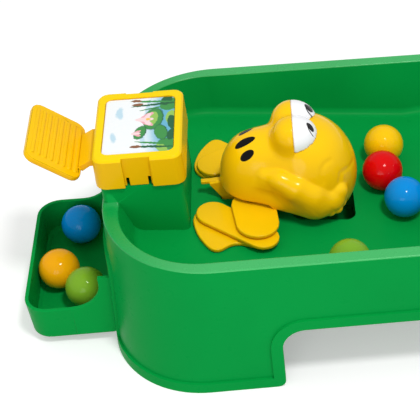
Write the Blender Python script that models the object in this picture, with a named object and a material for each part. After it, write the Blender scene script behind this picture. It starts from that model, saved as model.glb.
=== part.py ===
"""A two-player frog marble game: a green board, and at each end a press lever, a sliding frog and a catch tray.

Metres, +Z up. The origin is on the table under the middle of the board, +X runs along the board.
End a is at -X and end b at +X. End b is end a turned half a turn about Z.
"""

import math

import bmesh
import bpy
import numpy as np
from mathutils import Matrix, Vector

# Ball and board
BALL_DIAMETER = 0.0200
BOARD_LENGTH = 0.2966
BOARD_WIDTH = 0.1532
RIM_HEIGHT = 0.0745
RIM_CORNER_RADIUS = 0.0510
RIM_EDGE = 0.0008
RIM_BAND_END = 0.0076
RIM_BAND_SIDE = 0.0064
WALL = 0.0024
FOOT_SPREAD_END = 0.0029
FOOT_SPREAD_SIDE = 0.0019
FOOT_CORNER_RADIUS = 0.0450
LIP_HEIGHT = 0.0055
LIP_DEPTH = 0.0013

# Arena
ARENA_CORNER_RADIUS = 0.0400
ARENA_TAPER_END = 0.0050
ARENA_TAPER_SIDE = 0.0034
FLOOR_LOW_HEIGHT = 0.0430
FLOOR_SLOPE = math.radians(5.7)
FLOOR_FILLET = 0.0040

# Arched cut-outs in the long sides
ARCH_WIDTH = 0.1420
ARCH_HEIGHT = 0.0358
ARCH_RADIUS = 0.0110
FOOT_TOE_RADIUS = 0.0040

# Tower and the cap on it
CAP_LENGTH = 0.0406
CAP_WIDTH = 0.0530
CAP_HEIGHT = 0.0160
CAP_OUTER_X = -0.1494
CAP_CORNER_RADIUS = 0.0050
CAP_WALL = 0.0018
CAP_BULGE = 0.0012
CAP_EDGE = 0.0010
CAP_DRAFT = 0.0004
TOWER_RISE = 0.0087
TOWER_INSET = 0.0015
TOWER_CORNER_RADIUS = 0.0030
CARD_LENGTH = 0.0320
CARD_WIDTH = 0.0414
CARD_THICKNESS = 0.0004
CARD_RECESS = 0.0014
CARD_CORNER_RADIUS = 0.0030
CHANNEL_WIDTH = 0.0126
CHANNEL_DEPTH = 0.0020
CHANNEL_OFFSET = -0.0008
SNAP_SLOT_WIDTH = 0.0014
SNAP_SLOT_HEIGHT = 0.0045

# Press lever and its pin
LEVER_AXIS_X = -0.1370
LEVER_RISE = 0.0048
LEVER_TRAVEL = math.radians(26.0)
PADDLE_WIDTH = 0.0404
PADDLE_LENGTH = 0.0277
PADDLE_THICKNESS = 0.0030
PADDLE_TILT = math.radians(38.7)
PADDLE_INNER_X = -0.1567
PADDLE_DROP = 0.0029
PADDLE_CORNER_RADIUS = 0.0050
GRIP_RIB_COUNT = 8
GRIP_RIB_HEIGHT = 0.0006
GRIP_RIB_WIDTH = 0.0017
GRIP_RIB_INSET = 0.0038
NECK_WIDTH = 0.0240
NECK_THICKNESS = 0.0034
HUB_RADIUS = 0.0032
PIN_RADIUS = 0.0015
PIN_CLEARANCE = 0.0001
BRACKET_THICKNESS = 0.0022
DRIVE_ARM_WIDTH = 0.0060
DRIVE_ARM_THICKNESS = 0.0040
DRIVE_PEG_RADIUS = 0.0020
DRIVE_PEG_LENGTH = 0.0132

# Slide under the floor, which carries the frog
SLIDE_TRAVEL = 0.0151
SLIDE_WIDTH = 0.0120
SLIDE_THICKNESS = 0.0020
FORK_CLEARANCE = 0.0008
FORK_THICKNESS = 0.0022
FORK_RISE = 0.0085
POST_WIDTH = 0.0046
POST_LENGTH = 0.0070
POST_X = -0.0920
TAIL_BAR_END_X = -0.1047
TAIL_BAR_THICKNESS = 0.0016
TAIL_BAR_WIDTH = 0.0026
WEB_START_X = -0.1006
HIP_BAR_THICKNESS = 0.0025
FROG_AXIS_X = -0.0885
FROG_AXIS_RISE = 0.0112
FROG_PIN_RADIUS = 0.0012
HIP_BAR_LENGTH = 0.0042
HIP_PEG_RADIUS = 0.0014

# Cover under the slide, its screws, and the return spring
COVER_START_X = -0.0930
COVER_END_X = -0.0700
COVER_WIDTH = 0.0340
COVER_THICKNESS = 0.0016
COVER_CORNER_RADIUS = 0.0030
SCREW_X = -0.0815
SCREW_Y = 0.0124
SCREW_RADIUS = 0.0011
SCREW_BOSS_RADIUS = 0.0030
SPRING_FIXED_X = -0.1425
SPRING_MOVING_X = -0.1120
SPRING_POST_RADIUS = 0.0012
SPRING_RADIUS = 0.0022
SPRING_WIRE = 0.0006
SPRING_TURNS = 8
SPRING_STEPS = 10

# Ball hole, chute and tray
HOLE_START_X = -0.0620
HOLE_END_X = -0.0315
HOLE_WIDTH = 0.0364
HOLE_CORNER_RADIUS = 0.0050
CHUTE_WIDTH = 0.0270
CHUTE_MOUTH_WIDTH = 0.0380
CHUTE_HIGH_Z = 0.0215
CHUTE_LOW_Z = 0.0082
CHUTE_WALL = 0.0016
CHUTE_WALL_HEIGHT = 0.0130
CHUTE_TAPER = 0.0160
TRAY_END_X = -0.1930
TRAY_WIDTH = 0.0814
TRAY_BASE_Z = 0.0044
TRAY_RIM_Z = 0.0236
TRAY_FLANGE_Z = 0.0422
TRAY_WALL = 0.0018
TRAY_FLOOR = 0.0018
TRAY_CORNER_RADIUS = 0.0110
TRAY_DRAFT = 0.0008
TRAY_SWEEP_X = -0.1550
TRAY_SWEEP_RADIUS = 0.0150
RAIL_THICKNESS = 0.0023
RAIL_TOP_Z = 0.0590
RAIL_CORNER_RADIUS = 0.0150
WINDOW_TOP_Z = 0.0330

# Frog
FROG_WALL = 0.0018
FROG_MIDDLE = (-0.0640, 0.0, 0.0640)
BODY_CENTRE = (-0.0768, 0.0, 0.0626)
BODY_RADII = (0.0186, 0.0171, 0.0263)
BODY_LEAN = math.radians(3.0)
HEAD_CENTRE = (-0.0529, 0.0, 0.0666)
HEAD_RADII = (0.0234, 0.0232, 0.0284)
HEAD_LEAN = math.radians(11.2)
NECK_BLEND = 0.0104
EYE_CENTRE = (-0.0588, 0.0059, 0.0903)
EYE_RADIUS = 0.0100
EYE_FRONT_LENGTH = 0.0117
SHOULDER = (-0.0688, 0.0122, 0.0669)
SHOULDER_RADIUS = 0.0072
ELBOW = (-0.0645, 0.0152, 0.0676)
ELBOW_RADIUS = 0.0077
WRIST = (-0.0498, 0.0195, 0.0608)
WRIST_RADIUS = 0.0072
HAND = (-0.0424, 0.0177, 0.0611)
HAND_RADIUS = 0.0076
ARM_BLEND = 0.0026
FINGER_TIPS = ((-0.0384, 0.0128, 0.0565), (-0.0402, 0.0165, 0.0550), (-0.0440, 0.0195, 0.0545))
FINGER_RADIUS = 0.0031
BODY_RISE = 0.0098
ARM_RISE = 0.0082
HEAD_RISE = 0.0045
BODY_EDGE_X = -0.0712
ARM_EDGE_X = -0.0694
HEAD_EDGE_X = -0.0520
EAR_HEIGHT = 0.0125

# Legs, in the plane of the sloping floor
LEG_PLATE = 0.0020
LEG_GAP = 0.0007
LEG_COVER = 0.0006
LEG_PEG_RADIUS = 0.0018
LEG_PEG_CLEARANCE = 0.0003
ANKLE = (-0.1024, 0.0165)
KNEE = (-0.0783, 0.0338)
HIP = (-0.0824, 0.0106)
SHIN_LOW = (-0.1003, 0.0182)
SHIN_LOW_RADIUS = 0.0080
SHIN_HIGH = (-0.0772, 0.0353)
SHIN_HIGH_RADIUS = 0.0076
THIGH_LOW = (-0.0797, 0.0282)
THIGH_LOW_RADIUS = 0.0102
THIGH_HIGH = (-0.0812, 0.0158)
THIGH_HIGH_RADIUS = 0.0106
HIP_HOLE_RADIUS = 0.0032
TOE_PEG = (-0.0778, 0.0360)
FOOT_OUTLINE = (
    (-0.1087, 0.0155),
    (-0.1098, 0.0195),
    (-0.1093, 0.0240),
    (-0.1074, 0.0310),
    (-0.1036, 0.0379),
    (-0.1005, 0.0413),
    (-0.0971, 0.0414),
    (-0.0942, 0.0391),
    (-0.0913, 0.0372),
    (-0.0880, 0.0368),
    (-0.0840, 0.0378),
    (-0.0799, 0.0396),
    (-0.0770, 0.0405),
    (-0.0741, 0.0391),
    (-0.0731, 0.0365),
    (-0.0745, 0.0335),
    (-0.0800, 0.0300),
    (-0.0900, 0.0215),
    (-0.0965, 0.0150),
    (-0.1010, 0.0118),
    (-0.1055, 0.0122),
)

# Balls at rest: colour and place
ARENA_BALLS = (
    ("yellow", -0.0136, 0.0275),
    ("red", -0.0162, 0.0067),
    ("blue", -0.0074, -0.0135),
    ("olive", -0.0375, -0.0578),
    ("olive_2", 0.0270, 0.0360),
    ("orange", 0.0140, -0.0350),
    ("blue_2", 0.0330, -0.0575),
)
TRAY_BALL_SHARES = (
    ("orange", -1, 0.06, -0.142),
    ("olive", -1, 0.82, -0.650),
    ("blue", -1, 0.51, 0.975),
    ("red", 1, 0.49, 0.690),
    ("yellow", 1, 0.06, -0.310),
)

# Clearances and overruns
FIT_GAP = 0.0003
RUN_GAP = 0.0005
OVERRUN = 0.0050

# Facet counts
BOARD_ARC_STEPS = 8
SMALL_ARC_STEPS = 4
ROUND_STEPS = 16
FROG_FACETS = (40, 24)
CAVITY_FACETS = (26, 14)
EYE_FACETS = (20, 12)

HALF_LENGTH = BOARD_LENGTH / 2
HALF_WIDTH = BOARD_WIDTH / 2
CAP_CENTRE_X = CAP_OUTER_X + CAP_LENGTH / 2
TOWER_FRONT_X = CAP_OUTER_X + CAP_LENGTH - TOWER_INSET
BALL_RADIUS = BALL_DIAMETER / 2
FLOOR_RISE = math.tan(FLOOR_SLOPE)
TOWER_HEIGHT = RIM_HEIGHT + TOWER_RISE
LEVER_AXIS_Z = TOWER_HEIGHT + LEVER_RISE
PADDLE_INNER_Z = LEVER_AXIS_Z - PADDLE_DROP


def floor_height(x):
    """Top of the arena floor, which falls from both ends to the middle."""
    return FLOOR_LOW_HEIGHT + FLOOR_RISE * abs(x)


# Mesh helpers


def outline(half_x, half_y, radius, centre_x=0.0, steps=SMALL_ARC_STEPS, bulge=0.0):
    """Rounded rectangle, counter-clockwise, with a point in the middle of each side that runs along X."""
    radius = min(radius, half_x, half_y)
    points = []
    for turn, sign_x, sign_y in ((0, 1, 1), (1, -1, 1), (2, -1, -1), (3, 1, -1)):
        for step in range(steps + 1):
            angle = math.pi / 2 * (turn + step / steps)
            x = sign_x * (half_x - radius) + radius * math.cos(angle)
            y = sign_y * (half_y - radius) + radius * math.sin(angle)
            if x < 0:
                x -= bulge * (1 - (y / half_y) ** 2)
            points.append((centre_x + x, y))
        if turn in (0, 2):
            points.append((centre_x, sign_y * half_y))
    return points


def at_height(points, z):
    return [Vector((x, y, z)) for x, y in points]


def mesh_object(name, mesh):
    data = bpy.data.meshes.new(name)
    bmesh.ops.recalc_face_normals(mesh, faces=mesh.faces)
    mesh.to_mesh(data)
    mesh.free()
    thing = bpy.data.objects.new(name, data)
    bpy.context.scene.collection.objects.link(thing)
    return thing


def ring_mesh(rings):
    """Skin through rings of equal length, with both ends open."""
    mesh = bmesh.new()
    rows = [[mesh.verts.new(point) for point in ring] for ring in rings]
    for low, high in zip(rows, rows[1:]):
        for i in range(len(low)):
            j = (i + 1) % len(low)
            mesh.faces.new((low[i], low[j], high[j], high[i]))
    return mesh, rows


def loft(name, rings, steps=SMALL_ARC_STEPS):
    """Solid through outlines of equal length. Both caps are split along the line through their middle points."""
    mesh, rows = ring_mesh(rings)
    first = steps + 1
    second = first + 1 + 2 * (steps + 1)
    for row in (rows[0], rows[-1]):
        mesh.faces.new(row[first : second + 1])
        mesh.faces.new(row[second:] + row[: first + 1])
    return mesh_object(name, mesh)


def prism(name, points, axis, low, high):
    """Extrudes a polygon along X, Y or Z. Its points are the two other coordinates, in X, Y, Z order."""
    mesh = bmesh.new()
    rows = []
    for place in (low, high):
        row = []
        for u, v in points:
            coordinates = {"X": (place, u, v), "Y": (u, place, v), "Z": (u, v, place)}[axis]
            row.append(mesh.verts.new(coordinates))
        rows.append(row)
    mesh.faces.new(rows[0])
    mesh.faces.new(rows[1])
    count = len(points)
    for i in range(count):
        j = (i + 1) % count
        mesh.faces.new((rows[0][i], rows[0][j], rows[1][j], rows[1][i]))
    return mesh_object(name, mesh)


def block(name, low, high):
    corners = [(low[0], low[1]), (high[0], low[1]), (high[0], high[1]), (low[0], high[1])]
    return prism(name, corners, "Z", low[2], high[2])


def arc(centre, radius, start, end, steps=SMALL_ARC_STEPS):
    """Points on an arc, between two angles in quarter turns."""
    points = []
    for step in range(steps + 1):
        angle = math.pi / 2 * (start + (end - start) * step / steps)
        points.append((centre[0] + radius * math.cos(angle), centre[1] + radius * math.sin(angle)))
    return points


def rod(name, radius, axis, centre, low, high, steps=ROUND_STEPS):
    circle = []
    for step in range(steps):
        angle = 2 * math.pi * (step + 1 / 2) / steps
        circle.append((centre[0] + radius * math.cos(angle), centre[1] + radius * math.sin(angle)))
    return prism(name, circle, axis, low, high)


def ellipsoid(name, centre, radii, around=20, along=12):
    mesh = bmesh.new()
    bmesh.ops.create_uvsphere(mesh, u_segments=around, v_segments=along, radius=1)
    bmesh.ops.scale(mesh, vec=radii, verts=mesh.verts)
    bmesh.ops.translate(mesh, vec=centre, verts=mesh.verts)
    return mesh_object(name, mesh)


def combine(base, tool, operation):
    """Applies one Boolean and deletes the tool."""
    modifier = base.modifiers.new(operation, "BOOLEAN")
    modifier.operation = operation
    modifier.solver = "EXACT"
    modifier.object = tool
    bpy.context.view_layer.update()
    graph = bpy.context.evaluated_depsgraph_get()
    result = bpy.data.meshes.new_from_object(base.evaluated_get(graph))
    base.modifiers.clear()
    old = base.data
    base.data = result
    result.name = base.name
    bpy.data.meshes.remove(old)
    shape = tool.data
    bpy.data.objects.remove(tool)
    bpy.data.meshes.remove(shape)
    return base


def cut(base, *tools):
    for tool in tools:
        combine(base, tool, "DIFFERENCE")
    return base


def join(base, *tools):
    for tool in tools:
        combine(base, tool, "UNION")
    return base


def keep_inside(base, tool):
    return combine(base, tool, "INTERSECT")


def smooth(thing, angle=math.radians(32.0)):
    thing.data.shade_smooth()
    thing.data.set_sharp_from_angle(angle=angle)


# Materials


def plastic(name, colour, roughness):
    material = bpy.data.materials.new(name)
    material.use_nodes = True
    shader = material.node_tree.nodes["Principled BSDF"]
    shader.inputs["Base Color"].default_value = (*colour, 1.0)
    shader.inputs["Roughness"].default_value = roughness
    shader.inputs["Metallic"].default_value = 0.0
    material.diffuse_color = (*colour, 1.0)
    return material


def steel(name):
    material = plastic(name, (0.55, 0.55, 0.56), 0.3)
    material.node_tree.nodes["Principled BSDF"].inputs["Metallic"].default_value = 1.0
    return material


def dress(thing, material):
    thing.data.materials.clear()
    thing.data.materials.append(material)
    smooth(thing)


# Placing


def place(thing, material, parent, origin=(0.0, 0.0, 0.0)):
    """Gives a finished piece its material, its parent, and its own origin at a point of the parent's frame."""
    thing.data.transform(Matrix.Translation(-Vector(origin)))
    thing.parent = parent
    thing.location = origin
    dress(thing, material)
    return thing


def twin(thing, name, material, parent):
    """The same piece at the other end of the board."""
    copy = thing.copy()
    copy.data = thing.data.copy()
    copy.name = name
    copy.data.name = name
    copy.parent = parent
    bpy.context.scene.collection.objects.link(copy)
    dress(copy, material)
    return copy


# Board


def skirt_ring(spread, share, z, edge=0.0):
    """Outer outline of the board at a height: share is 0 at the foot and 1 at the rim."""
    end = HALF_LENGTH + FOOT_SPREAD_END * (1 - share) + spread - edge
    side = HALF_WIDTH + FOOT_SPREAD_SIDE * (1 - share) + spread - edge
    radius = FOOT_CORNER_RADIUS + (RIM_CORNER_RADIUS - FOOT_CORNER_RADIUS) * share + spread - edge
    return at_height(outline(end, side, radius, steps=BOARD_ARC_STEPS), z)


def skirt(name, spread, low, high):
    shares = (low / RIM_HEIGHT, high / RIM_HEIGHT)
    return loft(name, [skirt_ring(spread, share, share * RIM_HEIGHT) for share in shares], BOARD_ARC_STEPS)


def tub(name, spread):
    """The arena's hollow, or with a spread the block of plastic round it."""
    end = HALF_LENGTH - RIM_BAND_END + spread
    side = HALF_WIDTH - RIM_BAND_SIDE + spread
    radius = ARENA_CORNER_RADIUS + spread
    top = RIM_HEIGHT + OVERRUN
    depth = RIM_HEIGHT - FLOOR_LOW_HEIGHT

    def ring(rise, inset):
        """Outline at a height above the sloping floor, so the height of each point follows its place."""
        taper = 1 - rise / depth
        flat = outline(
            end - ARENA_TAPER_END * taper - inset,
            side - ARENA_TAPER_SIDE * taper - inset,
            radius - ARENA_TAPER_SIDE * taper - inset,
            steps=BOARD_ARC_STEPS,
        )
        return [Vector((x, y, floor_height(x) - spread + rise)) for x, y in flat]

    rings = [ring(0.0, FLOOR_FILLET), ring(FLOOR_FILLET / 4, FLOOR_FILLET / 3), ring(FLOOR_FILLET, 0.0)]
    rim = outline(end, side, radius, steps=BOARD_ARC_STEPS)
    if spread:
        return loft(name, rings + [at_height(rim, RIM_HEIGHT - WALL / 2)], BOARD_ARC_STEPS)
    wide = outline(end + RIM_EDGE, side + RIM_EDGE, radius + RIM_EDGE, steps=BOARD_ARC_STEPS)
    rings += [at_height(rim, RIM_HEIGHT - RIM_EDGE), at_height(wide, RIM_HEIGHT), at_height(wide, top)]
    return loft(name, rings, BOARD_ARC_STEPS)


def arch_profile(grow):
    """Side view of the cut-out in a long side, in X and Z. It grows by the lip's height for the lip's inner edge."""
    half = ARCH_WIDTH / 2 + grow
    top = ARCH_HEIGHT + grow
    radius = ARCH_RADIUS + grow
    low = -OVERRUN
    corner = half if grow else half + FOOT_TOE_RADIUS
    points = [(corner, low)]
    if not grow:
        points += arc((corner, FOOT_TOE_RADIUS), FOOT_TOE_RADIUS, 3, 2)
    points += arc((half - radius, top - radius), radius, 0, 1)
    points += arc((radius - half, top - radius), radius, 1, 2)
    if not grow:
        points += arc((-corner, FOOT_TOE_RADIUS), FOOT_TOE_RADIUS, 4, 3)
    points += [(-corner, low)]
    return points


def lip_region():
    """Everything within the lip's height of the foot or of an arch."""
    far = HALF_LENGTH + FOOT_SPREAD_END + LIP_DEPTH + OVERRUN
    wide = HALF_WIDTH + FOOT_SPREAD_SIDE + LIP_DEPTH + OVERRUN
    band = block("lip_band", (-far, -wide, -OVERRUN), (far, wide, LIP_HEIGHT))
    arch = prism("lip_arch", arch_profile(LIP_HEIGHT), "Y", -wide, wide)
    return join(band, arch)


def rail_outline(half, top, radius):
    points = [(half, -OVERRUN)]
    points += arc((half - radius, top - radius), radius, 0, 1, BOARD_ARC_STEPS)
    points += arc((radius - half, top - radius), radius, 1, 2, BOARD_ARC_STEPS)
    points += [(-half, -OVERRUN)]
    return points


def rail_region(side):
    """Arched bead on an end wall, with a second rib inside it on each side for the tray's flange."""
    far = HALF_LENGTH + FOOT_SPREAD_END + LIP_DEPTH + OVERRUN
    near = HALF_LENGTH - RIM_CORNER_RADIUS / 2
    low, high = sorted((side * near, side * far))
    outer = TRAY_WIDTH / 2 + RUN_GAP + RAIL_THICKNESS
    bead = prism("rail_bead", rail_outline(outer, RAIL_TOP_Z, RAIL_CORNER_RADIUS), "X", low, high)
    inner = outer - RAIL_THICKNESS
    inside = rail_outline(inner, RAIL_TOP_Z - RAIL_THICKNESS, RAIL_CORNER_RADIUS - RAIL_THICKNESS)
    slack = (low - OVERRUN, high + OVERRUN)
    cut(bead, prism("rail_inside", inside, "X", *slack))
    rib = inner - TRAY_WALL - 2 * RUN_GAP
    for sign in (-1, 1):
        a, b = sorted((sign * rib, sign * (rib - RAIL_THICKNESS)))
        join(bead, block("rail_rib", (low, a, 0.0), (high, b, TRAY_FLANGE_Z)))
    return bead


def tower_outline(inset, steps=SMALL_ARC_STEPS):
    half_x = CAP_LENGTH / 2 - TOWER_INSET - inset
    half_y = CAP_WIDTH / 2 - TOWER_INSET - inset
    radius = max(TOWER_CORNER_RADIUS - inset, TOWER_INSET)
    return outline(half_x, half_y, radius, CAP_CENTRE_X, steps)


def make_board():
    board = loft(
        "game_board",
        [
            skirt_ring(0.0, 0.0, 0.0),
            skirt_ring(0.0, 1 - RIM_EDGE / RIM_HEIGHT, RIM_HEIGHT - RIM_EDGE),
            skirt_ring(0.0, 1.0, RIM_HEIGHT, RIM_EDGE),
        ],
        BOARD_ARC_STEPS,
    )
    trim = skirt("trim", LIP_DEPTH, 0.0, RIM_HEIGHT - OVERRUN)
    region = lip_region()
    for side in (-1, 1):
        join(region, rail_region(side))
    keep_inside(trim, region)
    join(board, trim)

    hollow = skirt("hollow", -WALL, -OVERRUN, RIM_HEIGHT - WALL)
    cut(hollow, tub("tub_block", WALL))
    cut(board, hollow, tub("tub_hollow", 0.0))

    for side in (-1, 1):
        add_tower(board, side)
        add_spring_bracket(board, side)
        add_bosses(board, side)

    arch_reach = HALF_WIDTH + FOOT_SPREAD_SIDE + LIP_DEPTH + OVERRUN
    cut(board, prism("arch", arch_profile(0.0), "Y", -arch_reach, arch_reach))
    for side in (-1, 1):
        cut_openings(board, side)
    return board


def turned(thing, side):
    """Turns a tool half a turn about Z when it is for end b."""
    if side > 0:
        thing.data.transform(Matrix.Rotation(math.pi, 4, "Z"))
    return thing


def add_tower(board, side):
    """The hollow tower at the middle of an end wall, with the lever's bearings on its top."""
    base = floor_height(TOWER_FRONT_X) - WALL
    outer = loft("tower", [at_height(tower_outline(0.0), z) for z in (base, TOWER_HEIGHT)])
    inner = loft("tower_hollow", [at_height(tower_outline(WALL), z) for z in (-OVERRUN, TOWER_HEIGHT - WALL)])
    join(board, turned(outer, side))
    cut(board, turned(inner, side))
    reach = NECK_WIDTH / 2 + HUB_RADIUS / 2
    for sign in (-1, 1):
        low, high = sorted((sign * reach, sign * (reach + BRACKET_THICKNESS)))
        ear = prism("bearing", bearing_outline(), "Y", low, high)
        join(board, turned(ear, side))
    bore = rod("bearing_bore", PIN_RADIUS + PIN_CLEARANCE, "Y", (LEVER_AXIS_X, LEVER_AXIS_Z), -CAP_WIDTH, CAP_WIDTH)
    cut(board, turned(bore, side))


def bearing_outline():
    half = HUB_RADIUS + WALL / 2
    base = TOWER_HEIGHT - WALL / 2
    points = [(LEVER_AXIS_X - half, base), (LEVER_AXIS_X + half, base)]
    points += arc((LEVER_AXIS_X, LEVER_AXIS_Z), half, 0, 2, 2 * SMALL_ARC_STEPS)
    return points


def cut_openings(board, side):
    """Ball hole, post slot, peg holes, tray window and lever slot of one end."""
    low = -OVERRUN
    high = RIM_HEIGHT
    hole_length = HOLE_END_X - HOLE_START_X
    hole = outline(hole_length / 2, HOLE_WIDTH / 2, HOLE_CORNER_RADIUS, HOLE_START_X + hole_length / 2)
    tools = [loft("hole", [at_height(hole, z) for z in (low, high)])]
    slot_start = POST_X - POST_LENGTH / 2 - RUN_GAP
    slot_end = POST_X + POST_LENGTH / 2 + SLIDE_TRAVEL + RUN_GAP
    slot_half = POST_WIDTH / 2 + RUN_GAP
    tools.append(block("post_slot", (slot_start, -slot_half, low), (slot_end, slot_half, high)))
    for sign in (-1, 1):
        for place_x, place_y in (ANKLE, TOE_PEG):
            peg = rod("peg_hole", LEG_PEG_RADIUS + LEG_PEG_CLEARANCE, "Z", (0.0, 0.0), -OVERRUN, OVERRUN)
            peg.data.transform(floor_frame() @ Matrix.Translation((place_x, sign * place_y, 0.0)))
            tools.append(peg)
    window_half = CHUTE_WIDTH / 2 + CHUTE_WALL + FIT_GAP
    far = HALF_LENGTH + FOOT_SPREAD_END + LIP_DEPTH + OVERRUN
    near = HALF_LENGTH - RIM_BAND_END - OVERRUN
    window_low = CHUTE_LOW_Z - CHUTE_WALL - FIT_GAP
    window = outline(window_half, (WINDOW_TOP_Z - window_low) / 2, CHUTE_WALL / 2)
    window = [(y, z + (WINDOW_TOP_Z + window_low) / 2) for y, z in window]
    tools.append(prism("window", window, "X", -far, -near))
    slot_reach = NECK_WIDTH / 2 + RUN_GAP
    drop = NECK_THICKNESS + (LEVER_AXIS_X - CAP_OUTER_X) * math.sin(LEVER_TRAVEL)
    lever_low = LEVER_AXIS_Z - HUB_RADIUS - drop
    inner_end = LEVER_AXIS_X + HUB_RADIUS + DRIVE_ARM_THICKNESS
    outer_end = CAP_OUTER_X - OVERRUN
    bearing_base = TOWER_HEIGHT + WALL / 2
    tools.append(
        block("lever_slot", (outer_end, -slot_reach, lever_low), (inner_end, slot_reach, bearing_base))
    )
    for tool in tools:
        cut(board, turned(tool, side))


def floor_frame():
    """Frame of the floor's slope at end a: x runs along it to the middle of the board, z stands square to it."""
    return Matrix.Translation((0.0, 0.0, FLOOR_LOW_HEIGHT)) @ Matrix.Rotation(FLOOR_SLOPE, 4, "Y")


# Cap, card, lever and pin


def make_cap():
    half_x = CAP_LENGTH / 2
    half_y = CAP_WIDTH / 2
    base = TOWER_HEIGHT + FIT_GAP
    top = base + CAP_HEIGHT

    def ring(inset, z):
        radius = max(CAP_CORNER_RADIUS - inset, CAP_EDGE)
        flat = outline(half_x - inset, half_y - inset, radius, CAP_CENTRE_X, bulge=CAP_BULGE)
        return at_height(flat, z)

    cap = loft(
        "housing_cap_a",
        [ring(0.0, base), ring(CAP_DRAFT, top - CAP_EDGE), ring(CAP_DRAFT + CAP_EDGE, top)],
    )
    channel_x = CAP_CENTRE_X + CHANNEL_OFFSET
    half_channel = CHANNEL_WIDTH / 2
    hollow = loft("cap_hollow", [ring(CAP_WALL, z) for z in (base - OVERRUN, top - CARD_RECESS - CAP_WALL)])
    for sign in (-1, 1):
        keep = sorted((sign * (half_y - CHANNEL_DEPTH - CAP_WALL), sign * (half_y + OVERRUN)))
        corner = half_channel + CAP_WALL
        cut(
            hollow,
            block("keep", (channel_x - corner, keep[0], base - 2 * OVERRUN), (channel_x + corner, keep[1], top)),
        )
    cut(cap, hollow)
    for sign in (-1, 1):
        deep = sorted((sign * (half_y - CHANNEL_DEPTH), sign * (half_y + OVERRUN)))
        cut(
            cap,
            block(
                "channel",
                (channel_x - half_channel, deep[0], base - OVERRUN),
                (channel_x + half_channel, deep[1], top + OVERRUN),
            ),
        )
        through = sorted((sign * (half_y - CHANNEL_DEPTH - 2 * CAP_WALL), sign * half_y))
        for edge in (-1, 1):
            slot_x = channel_x + edge * (half_channel - SNAP_SLOT_WIDTH)
            cut(
                cap,
                block(
                    "snap_slot",
                    (slot_x - SNAP_SLOT_WIDTH / 2, through[0], base - OVERRUN),
                    (slot_x + SNAP_SLOT_WIDTH / 2, through[1], base + SNAP_SLOT_HEIGHT),
                ),
            )
    recess = outline(
        CARD_LENGTH / 2 + FIT_GAP, CARD_WIDTH / 2 + FIT_GAP, CARD_CORNER_RADIUS + FIT_GAP, CAP_CENTRE_X
    )
    cut(cap, loft("recess", [at_height(recess, z) for z in (top - CARD_RECESS, top + OVERRUN)]))
    gap_half = NECK_WIDTH / 2 + RUN_GAP
    gap_top = LEVER_AXIS_Z + NECK_THICKNESS
    cut(
        cap,
        block(
            "lever_gap",
            (CAP_OUTER_X - OVERRUN, -gap_half, base - OVERRUN),
            (CAP_OUTER_X + CAP_CORNER_RADIUS, gap_half, gap_top),
        ),
    )
    return cap


def make_card():
    top = TOWER_HEIGHT + FIT_GAP + CAP_HEIGHT - CARD_RECESS + FIT_GAP
    flat = outline(CARD_LENGTH / 2, CARD_WIDTH / 2, CARD_CORNER_RADIUS, CAP_CENTRE_X)
    return loft("picture_card_a", [at_height(flat, z) for z in (top, top + CARD_THICKNESS)])


def make_pin():
    reach = NECK_WIDTH / 2 + HUB_RADIUS / 2 + BRACKET_THICKNESS + RUN_GAP
    return rod("lever_pin_a", PIN_RADIUS, "Y", (LEVER_AXIS_X, LEVER_AXIS_Z), -reach, reach)


def drive_peg_z():
    return floor_height(LEVER_AXIS_X) - WALL - RUN_GAP - SLIDE_THICKNESS / 2


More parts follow.
